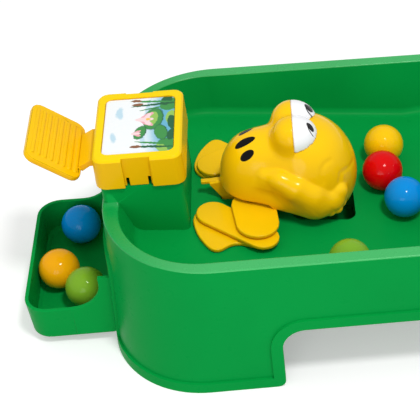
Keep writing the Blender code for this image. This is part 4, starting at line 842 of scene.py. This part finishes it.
def loft(name, rings, steps=SMALL_ARC_STEPS):
    """Solid through outlines of equal length, with both caps split between their middle points."""
    mesh = bmesh.new()
    rows = [[mesh.verts.new(point) for point in ring] for ring in rings]
    for low, high in zip(rows, rows[1:]):
        for i in range(len(low)):
            j = (i + 1) % len(low)
            mesh.faces.new((low[i], low[j], high[j], high[i]))
    first = steps + 1
    second = first + 1 + 2 * (steps + 1)
    for row in (rows[0], rows[-1]):
        mesh.faces.new(row[first : second + 1])
        mesh.faces.new(row[second:] + row[: first + 1])
    return mesh_object(name, mesh)


def prism(name, points, axis, low, high):
    """Extrudes a polygon along X, Y or Z. Its points are the two other coordinates, in X, Y, Z order."""
    mesh = bmesh.new()
    rows = []
    for place in (low, high):
        row = []
        for u, v in points:
            coordinates = {"X": (place, u, v), "Y": (u, place, v), "Z": (u, v, place)}[axis]
            row.append(mesh.verts.new(coordinates))
        rows.append(row)
    mesh.faces.new(rows[0])
    mesh.faces.new(rows[1])
    for i in range(len(points)):
        j = (i + 1) % len(points)
        mesh.faces.new((rows[0][i], rows[0][j], rows[1][j], rows[1][i]))
    return mesh_object(name, mesh)


def block(name, low, high):
    corners = [(low[0], low[1]), (high[0], low[1]), (high[0], high[1]), (low[0], high[1])]
    return prism(name, corners, "Z", low[2], high[2])


def arc(centre, radius, start, end, steps=SMALL_ARC_STEPS):
    """Points on an arc, between two angles in quarter turns."""
    points = []
    for step in range(steps + 1):
        angle = math.pi / 2 * (start + (end - start) * step / steps)
        points.append((centre[0] + radius * math.cos(angle), centre[1] + radius * math.sin(angle)))
    return points


def rod(name, radius, axis, centre, low, high, steps=ROUND_STEPS):
    circle = []
    for step in range(steps):
        angle = 2 * math.pi * (step + 1 / 2) / steps
        circle.append((centre[0] + radius * math.cos(angle), centre[1] + radius * math.sin(angle)))
    return prism(name, circle, axis, low, high)


def combine(base, tool, operation):
    """Applies one Boolean and deletes the tool."""
    modifier = base.modifiers.new(operation, "BOOLEAN")
    modifier.operation = operation
    modifier.solver = "EXACT"
    modifier.object = tool
    bpy.context.view_layer.update()
    graph = bpy.context.evaluated_depsgraph_get()
    result = bpy.data.meshes.new_from_object(base.evaluated_get(graph))
    base.modifiers.clear()
    old = base.data
    base.data = result
    result.name = base.name
    bpy.data.meshes.remove(old)
    shape = tool.data
    bpy.data.objects.remove(tool)
    bpy.data.meshes.remove(shape)
    return base


def cut(base, *tools):
    for tool in tools:
        combine(base, tool, "DIFFERENCE")
    return base


def join(base, *tools):
    for tool in tools:
        combine(base, tool, "UNION")
    return base


def keep_inside(base, tool):
    return combine(base, tool, "INTERSECT")


def round_steps(radius):
    """Pairs of how far in and how far up on a rounded edge, from its foot to its crest."""
    steps = []
    for step in range(FILLET_STEPS + 1):
        angle = math.pi / 2 * step / FILLET_STEPS
        steps.append((radius * (1 - math.cos(angle)), radius * math.sin(angle)))
    return steps


def skirt_ring(spread, share, z, edge=0.0):
    """Outer outline of the board at a height: share is 0 at the foot and 1 at the rim."""
    end = HALF_LENGTH + FOOT_SPREAD_END * (1 - share) + spread - edge
    side = HALF_WIDTH + FOOT_SPREAD_SIDE * (1 - share) + spread - edge
    radius = FOOT_CORNER_RADIUS + (RIM_CORNER_RADIUS - FOOT_CORNER_RADIUS) * share + spread - edge
    return at_height(outline(end, side, radius, steps=BOARD_ARC_STEPS), z)


def skirt(name, spread, low, high):
    shares = (low / RIM_HEIGHT, high / RIM_HEIGHT)
    return loft(name, [skirt_ring(spread, share, share * RIM_HEIGHT) for share in shares], BOARD_ARC_STEPS)


def tub(name, spread):
    """The arena's hollow, or with a spread the block of plastic round it."""
    end = HALF_LENGTH - RIM_BAND_END + spread
    side = HALF_WIDTH - RIM_BAND_SIDE + spread
    radius = ARENA_CORNER_RADIUS + spread
    depth = RIM_HEIGHT - FLOOR_LOW_HEIGHT

    def ring(rise, inset):
        """Outline at a height above the sloping floor, so the height of each point follows its place."""
        taper = 1 - rise / depth
        flat = outline(
            end - ARENA_TAPER_END * taper - inset,
            side - ARENA_TAPER_SIDE * taper - inset,
            radius - ARENA_TAPER_SIDE * taper - inset,
            steps=BOARD_ARC_STEPS,
        )
        return [Vector((x, y, floor_height(x) - spread + rise)) for x, y in flat]

    rings = [ring(FLOOR_FILLET - up, back) for back, up in round_steps(FLOOR_FILLET)][::-1]
    rim = outline(end, side, radius, steps=BOARD_ARC_STEPS)
    if spread:
        return loft(name, rings + [at_height(rim, RIM_HEIGHT - WALL / 2)], BOARD_ARC_STEPS)
    for back, up in round_steps(RIM_EDGE) + [(RIM_EDGE, RIM_EDGE + OVERRUN)]:
        ring_out = outline(end + back, side + back, radius + back, steps=BOARD_ARC_STEPS)
        rings.append(at_height(ring_out, RIM_HEIGHT - RIM_EDGE + up))
    return loft(name, rings, BOARD_ARC_STEPS)


def arch_top(half, top, radius, steps=SMALL_ARC_STEPS):
    """Top of an arch, from +U to -U, as two round corners."""
    right = arc((half - radius, top - radius), radius, 0, 1, steps)
    return right + arc((radius - half, top - radius), radius, 1, 2, steps)


def arched(half, top, radius, steps=SMALL_ARC_STEPS):
    return [(half, -OVERRUN)] + arch_top(half, top, radius, steps) + [(-half, -OVERRUN)]


def arch_outline():
    """Side view of the cut-out in a long side, in X and Z, with a round toe at each foot."""
    toe = ARCH_WIDTH / 2 + FOOT_TOE_RADIUS
    points = [(toe, -OVERRUN)]
    points += arc((toe, FOOT_TOE_RADIUS), FOOT_TOE_RADIUS, 3, 2)
    points += arch_top(ARCH_WIDTH / 2, ARCH_HEIGHT, ARCH_RADIUS)
    points += arc((-toe, FOOT_TOE_RADIUS), FOOT_TOE_RADIUS, 4, 3)
    return points + [(-toe, -OVERRUN)]


def lip_region():
    """Everything within the lip's height of the foot or of an arch."""
    band = block("lip_band", (-FAR_X, -FAR_Y, -OVERRUN), (FAR_X, FAR_Y, LIP_HEIGHT))
    grown = (ARCH_WIDTH / 2 + LIP_HEIGHT, ARCH_HEIGHT + LIP_HEIGHT, ARCH_RADIUS + LIP_HEIGHT)
    arch = prism("lip_arch", arched(*grown), "Y", -FAR_Y, FAR_Y)
    return join(band, arch)


def rail_region(side):
    """Arched bead on an end wall, with a second rib inside it on each side for the tray's flange."""
    near = HALF_LENGTH - RIM_CORNER_RADIUS / 2
    low, high = sorted((side * near, side * FAR_X))
    outer = TRAY_WIDTH / 2 + RUN_GAP + RAIL_THICKNESS
    outline_out = arched(outer, RAIL_TOP_Z, RAIL_CORNER_RADIUS, BOARD_ARC_STEPS)
    bead = prism("rail_bead", outline_out, "X", low, high)
    inner = outer - RAIL_THICKNESS
    radius = RAIL_CORNER_RADIUS - RAIL_THICKNESS
    inside = arched(inner, RAIL_TOP_Z - RAIL_THICKNESS, radius, BOARD_ARC_STEPS)
    cut(bead, prism("rail_inside", inside, "X", low - OVERRUN, high + OVERRUN))
    rib = inner - TRAY_WALL - 2 * RUN_GAP
    for sign in (-1, 1):
        a, b = sorted((sign * rib, sign * (rib - RAIL_THICKNESS)))
        join(bead, block("rail_rib", (low, a, 0.0), (high, b, TRAY_FLANGE_Z)))
    return bead


def turned(thing, side):
    """Turns a tool half a turn about Z when it is for end b."""
    if side > 0:
        thing.data.transform(HALF_TURN)
    return thing


def tower_outline(inset):
    half_x = CAP_LENGTH / 2 - TOWER_INSET - inset
    half_y = CAP_WIDTH / 2 - TOWER_INSET - inset
    radius = max(TOWER_CORNER_RADIUS - inset, TOWER_INSET)
    return outline(half_x, half_y, radius, CAP_CENTRE_X)


def bearing_outline():
    half = HUB_RADIUS + WALL / 2
    base = TOWER_HEIGHT - WALL / 2
    points = [(LEVER_AXIS_X - half, base), (LEVER_AXIS_X + half, base)]
    points += arc((LEVER_AXIS_X, LEVER_AXIS_Z), half, 0, 2, 2 * SMALL_ARC_STEPS)
    return points


def add_tower(board, side):
    """The hollow tower at the middle of an end wall, with the lever's bearings on its top."""
    base = floor_height(TOWER_FRONT_X) - WALL
    outer = loft("tower", [at_height(tower_outline(0.0), z) for z in (base, TOWER_HEIGHT)])
    inner = loft("tower_hollow", [at_height(tower_outline(WALL), z) for z in (-OVERRUN, TOWER_HEIGHT - WALL)])
    join(board, turned(outer, side))
    cut(board, turned(inner, side))
    reach = NECK_WIDTH / 2 + HUB_RADIUS / 2
    for sign in (-1, 1):
        low, high = sorted((sign * reach, sign * (reach + BRACKET_THICKNESS)))
        ear = prism("bearing", bearing_outline(), "Y", low, high)
        join(board, turned(ear, side))
    axis = (LEVER_AXIS_X, LEVER_AXIS_Z)
    bore = rod("bearing_bore", PIN_RADIUS + PIN_CLEARANCE, "Y", axis, -CAP_WIDTH, CAP_WIDTH)
    cut(board, turned(bore, side))


def add_spring_bracket(board, side):
    """Bracket on the inside of the end wall, with a post for the fixed end of the spring."""
    shelf_top = SPRING_LEVEL - SPRING_WIRE - RUN_GAP
    reach = SPRING_FIXED_X + 2 * SPRING_POST_RADIUS
    half = 2 * SPRING_POST_RADIUS
    wall_x = WALL - HALF_LENGTH - FOOT_SPREAD_END
    bracket = block("bracket", (wall_x, -half, shelf_top - WALL), (reach, half, shelf_top))
    post_top = SPRING_LEVEL + SPRING_WIRE + RUN_GAP
    centre = (SPRING_FIXED_X, 0.0)
    join(bracket, rod("post", SPRING_POST_RADIUS, "Z", centre, shelf_top - WALL / 2, post_top, POST_STEPS))
    bracket.data.transform(FLOOR_FRAME)
    join(board, turned(bracket, side))


def add_bosses(board, side):
    """Screw bosses and guide rails for the slide, under the floor."""
    low = SLIDE_TOP - SLIDE_THICKNESS - RUN_GAP
    high = -WALL / 2
    inner = SLIDE_WIDTH / 2 + RUN_GAP
    for sign in (-1, 1):
        near, far = sorted((sign * inner, sign * (inner + COVER_THICKNESS)))
        guide = block("guide", (COVER_START_X, near, low), (COVER_END_X, far, high))
        centre = (SCREW_X, sign * SCREW_Y)
        boss = rod("boss", SCREW_BOSS_RADIUS, "Z", centre, low, high)
        bore = rod("bore", SCREW_RADIUS + FIT_GAP, "Z", centre, low - OVERRUN, high, BORE_STEPS)
        for tool in (guide, boss, bore):
            tool.data.transform(FLOOR_FRAME)
        join(board, turned(guide, side), turned(boss, side))
        cut(board, turned(bore, side))


def cut_openings(board, side):
    """Ball hole, post slot, peg holes, tray window and lever slot of one end."""
    low = -OVERRUN
    high = RIM_HEIGHT
    hole_length = HOLE_END_X - HOLE_START_X
    hole = outline(hole_length / 2, HOLE_WIDTH / 2, HOLE_CORNER_RADIUS, HOLE_START_X + hole_length / 2)
    tools = [loft("hole", [at_height(hole, z) for z in (low, high)])]
    slot_start = POST_X - POST_LENGTH / 2 - RUN_GAP
    slot_end = POST_X + POST_LENGTH / 2 + SLIDE_TRAVEL + RUN_GAP
    slot_half = POST_WIDTH / 2 + RUN_GAP
    tools.append(block("post_slot", (slot_start, -slot_half, low), (slot_end, slot_half, high)))
    for sign in (-1, 1):
        for place_x, place_y in (ANKLE, TOE_PEG):
            peg = rod("peg_hole", LEG_PEG_RADIUS + LEG_PEG_CLEARANCE, "Z", (0.0, 0.0), -OVERRUN, OVERRUN)
            peg.data.transform(FLOOR_FRAME @ Matrix.Translation((place_x, sign * place_y, 0.0)))
            tools.append(peg)
    window_half = CHUTE_WIDTH / 2 + CHUTE_WALL + FIT_GAP
    near = HALF_LENGTH - RIM_BAND_END - OVERRUN
    window_low = CHUTE_LOW_Z - CHUTE_WALL - FIT_GAP
    window = outline(window_half, (WINDOW_TOP_Z - window_low) / 2, CHUTE_WALL / 2)
    window = [(y, z + (WINDOW_TOP_Z + window_low) / 2) for y, z in window]
    tools.append(prism("window", window, "X", -FAR_X, -near))
    slot_reach = NECK_WIDTH / 2 + RUN_GAP
    drop = NECK_THICKNESS + (LEVER_AXIS_X - CAP_OUTER_X) * math.sin(LEVER_TRAVEL)
    lever_low = LEVER_AXIS_Z - HUB_RADIUS - drop
    inner_end = LEVER_AXIS_X + HUB_RADIUS + DRIVE_ARM_THICKNESS
    outer_end = CAP_OUTER_X - OVERRUN
    bearing_base = TOWER_HEIGHT + WALL / 2
    slot_low = (outer_end, -slot_reach, lever_low)
    tools.append(block("lever_slot", slot_low, (inner_end, slot_reach, bearing_base)))
    for tool in tools:
        cut(board, turned(tool, side))


def make_board():
    rings = [skirt_ring(0.0, 0.0, 0.0)]
    for back, up in round_steps(RIM_EDGE):
        z = RIM_HEIGHT - RIM_EDGE + up
        rings.append(skirt_ring(0.0, z / RIM_HEIGHT, z, back))
    board = loft("board_moulding", rings, BOARD_ARC_STEPS)
    trim = skirt("trim", LIP_DEPTH, 0.0, RIM_HEIGHT - OVERRUN)
    region = lip_region()
    for side in (-1, 1):
        join(region, rail_region(side))
    keep_inside(trim, region)
    join(board, trim)

    hollow = skirt("hollow", -WALL, -OVERRUN, RIM_HEIGHT - WALL)
    cut(hollow, tub("tub_block", WALL))
    cut(board, hollow, tub("tub_hollow", 0.0))

    for side in (-1, 1):
        add_tower(board, side)
        add_spring_bracket(board, side)
        add_bosses(board, side)

    cut(board, prism("arch", arch_outline(), "Y", -FAR_Y, FAR_Y))
    for side in (-1, 1):
        cut_openings(board, side)
    return board


def soft_edges(board):
    """Rounds the sharp edges, apart from the rim, which is rounded already."""
    mesh = bmesh.new()
    mesh.from_mesh(board.data)
    bmesh.ops.remove_doubles(mesh, verts=mesh.verts, dist=JOIN_DISTANCE)
    bmesh.ops.dissolve_degenerate(mesh, edges=mesh.edges, dist=JOIN_DISTANCE)
    sharp = []
    for edge in mesh.edges:
        low = min(corner.co.z for corner in edge.verts)
        if len(edge.link_faces) == 2 and low < RIM_HEIGHT - 2 * RIM_EDGE or low > RIM_HEIGHT + RIM_EDGE:
            if edge.calc_face_angle(0.0) > SHARP_ANGLE:
                sharp.append(edge)
    bmesh.ops.bevel(
        mesh,
        geom=sharp,
        offset=EDGE_WIDTH,
        offset_type="OFFSET",
        segments=EDGE_SEGMENTS,
        profile=0.5,
        affect="EDGES",
        clamp_overlap=True,
        face_strength_mode="ALL",
    )
    bmesh.ops.triangulate(mesh, faces=[face for face in mesh.faces if len(face.verts) > 4])
    mesh.to_mesh(board.data)
    mesh.free()


def dress_board():
    board = make_board()
    soft_edges(board)
    paint(board, green, rim_highlight_green)
    # The rim's top faces take the material with its painted highlight
    for face in board.data.polygons:
        near = RIM_HEIGHT - RIM_EDGE < face.center.z < RIM_HEIGHT + RIM_EDGE / 4
        face.material_index = 1 if near and face.normal.z > RIM_UP else 0
        face.use_smooth = True
    normals = board.modifiers.new("normals", "WEIGHTED_NORMAL")
    normals.keep_sharp = False
    normals.use_face_influence = True
    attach(board, "board")
    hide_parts("game_board")


dress_board()


# Picture cards

SKY = srgb(244, 250, 252)
WASH = srgb(196, 226, 240)
WATER = srgb(104, 182, 212)
LEAF = srgb(58, 148, 70)
DARK_LEAF = srgb(24, 98, 58)
PALE_LEAF = srgb(150, 200, 90)
PETAL = srgb(244, 176, 186)
PALE_PETAL = srgb(252, 222, 224)
GOLD = srgb(250, 200, 90)
REED = srgb(140, 92, 60)
PAPER = srgb(252, 253, 254)
CARD_CORNER_RADIUS = 0.0022
CARD_CORNER_STEPS = 8
CARD_GAP = 0.00002
CARD_SHARP_ANGLE = math.radians(30)
# How far the outlines of the print waver, and how soft they are in washes and in motifs
WAVER_SCALE = 900.0
WAVER = 0.0012
WASH_BLUR = 0.55
MOTIF_BLUR = 0.12
# Place as shares of the card's length and width, radii as shares of its width, angle in degrees, colour
CARD_SHARES = (
    (0.3, 0.0, 0.62, 0.16, 90, WASH),
    (0.42, 0.02, 0.56, 0.17, 90, WATER),
    (0.45, 0.12, 0.12, 0.055, 84, PALE_LEAF),
    (0.47, 0.02, 0.13, 0.05, 96, DARK_LEAF),
    (0.12, 0.3, 0.16, 0.03, 84, WASH),
    (0.06, -0.26, 0.15, 0.028, 96, WASH),
    (0.44, 0.36, 0.13, 0.1, 40, LEAF),
    (0.38, 0.44, 0.1, 0.06, 70, DARK_LEAF),
    (0.46, -0.38, 0.15, 0.1, -30, LEAF),
    (0.34, -0.44, 0.1, 0.05, -60, PALE_LEAF),
    (0.47, -0.2, 0.1, 0.05, 80, DARK_LEAF),
    (0.22, 0.37, 0.27, 0.018, 4, DARK_LEAF),
    (0.17, 0.43, 0.25, 0.018, -6, LEAF),
    (0.25, 0.31, 0.2, 0.015, 12, LEAF),
    (-0.04, 0.385, 0.065, 0.025, 4, REED),
    (-0.06, 0.455, 0.06, 0.024, -6, REED),
    (0.2, -0.4, 0.24, 0.018, -5, DARK_LEAF),
    (0.23, -0.34, 0.22, 0.016, -12, LEAF),
    (-0.03, -0.385, 0.062, 0.025, -5, REED),
    (0.2, 0.1, 0.2, 0.112, 82, DARK_LEAF),
    (0.195, 0.1, 0.188, 0.102, 82, LEAF),
    (0.185, 0.11, 0.13, 0.06, 82, PALE_LEAF),
    (0.32, -0.15, 0.14, 0.074, 100, DARK_LEAF),
    (0.315, -0.15, 0.13, 0.066, 100, LEAF),
    (0.02, -0.14, 0.125, 0.066, 75, DARK_LEAF),
    (0.015, -0.14, 0.115, 0.058, 75, LEAF),
    (0.1, 0.16, 0.095, 0.034, 40, PETAL),
    (0.1, 0.04, 0.095, 0.034, -40, PETAL),
    (0.07, 0.1, 0.105, 0.036, 0, PALE_PETAL),
    (0.11, 0.14, 0.08, 0.03, 65, PALE_PETAL),
    (0.11, 0.06, 0.08, 0.03, -65, PALE_PETAL),
    (0.125, 0.1, 0.026, 0.022, 0, GOLD),
    (-0.03, -0.13, 0.055, 0.022, 35, PETAL),
    (-0.03, -0.17, 0.055, 0.022, -35, PETAL),
    (-0.04, -0.15, 0.055, 0.021, 0, PALE_PETAL),
    (-0.3, 0.26, 0.09, 0.035, 80, WASH),
    (-0.28, 0.2, 0.07, 0.03, 95, WASH),
    (-0.36, -0.2, 0.085, 0.03, 100, WASH),
)


def card_print(name, low, high, turned):
    """Plain pond picture: sky, water, reeds, lily pads and water lilies."""
    made = Nodes(name, turned)
    middle = (low + high) / 2
    length, width = high.x - low.x, high.y - low.y
    if turned:
        middle = Vector((-middle.x, -middle.y, middle.z))
    noise = made.add("ShaderNodeTexNoise", {"Vector": made.position, "Scale": WAVER_SCALE, "Detail": 2.0})
    centred = made.vector("SUBTRACT", noise.outputs["Color"], (0.5, 0.5, 0.5))
    made.position = made.vector("ADD", made.position, made.vector("MULTIPLY", centred, (WAVER,) * 3))
    base = made.mix(made.noise(500.0), SKY, PAPER)
    for along, aside, long, short, turn, colour in CARD_SHARES:
        centre = middle + Vector((along * length, aside * width, 0.0))
        angle = math.radians(turn)
        long_axis = (math.cos(angle), math.sin(angle), 0.0)
        axes = (long_axis, (-long_axis[1], long_axis[0], 0.0), (0.0, 0.0, 1.0))
        blur = WASH_BLUR if colour in (WASH, WATER) else MOTIF_BLUR
        base = made.mix(made.ellipse(centre, axes, (long * width, short * width), blur), base, colour)
    made.feed("Base Color", base)
    made.feed("Roughness", made.ramp(made.noise(700.0, 3.0), 0.28, 0.42))
    made.feed("Normal", made.bump(made.noise(1800.0), 0.15, 0.00004))
    return made.material


def make_cards():
    for side in PLAYERS:
        node = f"picture_card_{side}"
        low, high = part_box(node)
        ring = []
        for corner_x, corner_y, first in ((1, 1, 0), (-1, 1, 1), (-1, -1, 2), (1, -1, 3)):
            x = (high.x if corner_x > 0 else low.x) - corner_x * (CARD_CORNER_RADIUS + CARD_GAP)
            y = (high.y if corner_y > 0 else low.y) - corner_y * (CARD_CORNER_RADIUS + CARD_GAP)
            ring += arc((x, y), CARD_CORNER_RADIUS, first, first + 1, CARD_CORNER_STEPS)
        card = prism(f"pond_card_{side}", ring, "Z", low.z, high.z)
        card.data.set_sharp_from_angle(angle=CARD_SHARP_ANGLE)
        paint(card, card_print(f"pond_print_{side}", low, high, side == "b"))
        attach(card, "board")
        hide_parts(node)


make_cards()


# Floor, light and camera

FLOOR_SIZE = 3.0
FLOOR_GREY = (0.8, 0.8, 0.8, 1.0)
WHITE = (1.0, 1.0, 1.0, 1.0)
# The floor's own glow is seen by the camera alone, directly or in a gloss, and doesn't light the object
FLOOR_GLOW = 0.36
WORLD_LIGHT = 0.60
WORLD_SEEN = 1.0
LAMP_TARGET = (0.0, 0.0, 0.05)
# Place, diameter and power
LAMPS = {
    "key": ((0.15, -0.38, 0.98), 0.16, 4.7),
    "fill": ((-0.30, -0.85, 0.35), 0.50, 1.4),
}
CAMERA_TARGET = Vector((-0.008, 0.0, 0.032))
CAMERA_DISTANCE = 0.64784
CAMERA_HEADING = math.radians(5.776)
CAMERA_TILT = math.radians(41.624)
CAMERA_ROLL = math.radians(-0.7086)
CAMERA_REACH = (0.01, 20.0)
SENSOR_WIDTH = 36.0
# In pixels of the photograph's frame
FRAME_SIZE = 420
FOCAL_LENGTH = 1286.384
AXIS_X = 400.891
AXIS_Y = 212.562


def make_floor():
    mesh = bmesh.new()
    bmesh.ops.create_grid(mesh, x_segments=1, y_segments=1, size=FLOOR_SIZE)
    floor = mesh_object("floor", mesh)
    made = Nodes("floor_white")
    made.feed("Base Color", FLOOR_GREY)
    made.feed("Roughness", 0.9)
    made.feed("Specular IOR Level", 0.0)
    rays = made.add("ShaderNodeLightPath").outputs
    seen = made.math("MAXIMUM", rays["Is Camera Ray"], rays["Is Glossy Ray"])
    seen = made.math("MAXIMUM", seen, rays["Is Transmission Ray"])
    strength = made.math("MULTIPLY", seen, FLOOR_GLOW)
    glow = made.add("ShaderNodeEmission", {"Color": WHITE, "Strength": strength})
    both = made.add("ShaderNodeAddShader", {0: made.shader.outputs[0], 1: glow.outputs[0]})
    made.feed("Surface", both.outputs[0], made.output)
    paint(floor, made.material)


def make_world():
    world = bpy.data.worlds.new("studio")
    bpy.context.scene.world = world
    world.use_nodes = True
    tree = world.node_tree
    back = tree.nodes["Background"]
    back.inputs["Color"].default_value = WHITE
    rays = tree.nodes.new("ShaderNodeLightPath")
    strength = tree.nodes.new("ShaderNodeMapRange")
    strength.inputs["To Min"].default_value = WORLD_LIGHT
    strength.inputs["To Max"].default_value = WORLD_SEEN
    tree.links.new(rays.outputs["Is Camera Ray"], strength.inputs["Value"])
    tree.links.new(strength.outputs[0], back.inputs["Strength"])


def make_lamps():
    for name, (place, size, power) in LAMPS.items():
        data = bpy.data.lights.new(name, "AREA")
        data.shape = "DISK"
        data.size = size
        data.energy = power
        lamp = bpy.data.objects.new(name, data)
        lamp.location = place
        lamp.rotation_euler = (Vector(LAMP_TARGET) - Vector(place)).to_track_quat("-Z", "Y").to_euler()
        bpy.context.scene.collection.objects.link(lamp)


def make_camera():
    level = math.cos(CAMERA_TILT)
    ahead = (math.sin(CAMERA_HEADING) * level, math.cos(CAMERA_HEADING) * level, -math.sin(CAMERA_TILT))
    ahead = Vector(ahead)
    right = Vector((math.cos(CAMERA_HEADING), -math.sin(CAMERA_HEADING), 0.0))
    up = right.cross(ahead)
    rolled_right = math.cos(CAMERA_ROLL) * right + math.sin(CAMERA_ROLL) * up
    rolled_up = math.cos(CAMERA_ROLL) * up - math.sin(CAMERA_ROLL) * right
    data = bpy.data.cameras.new("camera")
    data.sensor_width = SENSOR_WIDTH
    data.lens = FOCAL_LENGTH / FRAME_SIZE * SENSOR_WIDTH
    data.shift_x = (FRAME_SIZE / 2 - AXIS_X) / FRAME_SIZE
    data.shift_y = (AXIS_Y - FRAME_SIZE / 2) / FRAME_SIZE
    data.clip_start, data.clip_end = CAMERA_REACH
    camera = bpy.data.objects.new("camera", data)
    matrix = Matrix((rolled_right, rolled_up, -ahead)).transposed().to_4x4()
    matrix.translation = CAMERA_TARGET - ahead * CAMERA_DISTANCE
    camera.matrix_world = matrix
    bpy.context.scene.collection.objects.link(camera)
    bpy.context.scene.camera = camera


make_floor()
make_world()
make_lamps()
make_camera()
bpy.context.scene.view_settings.view_transform = "Standard"
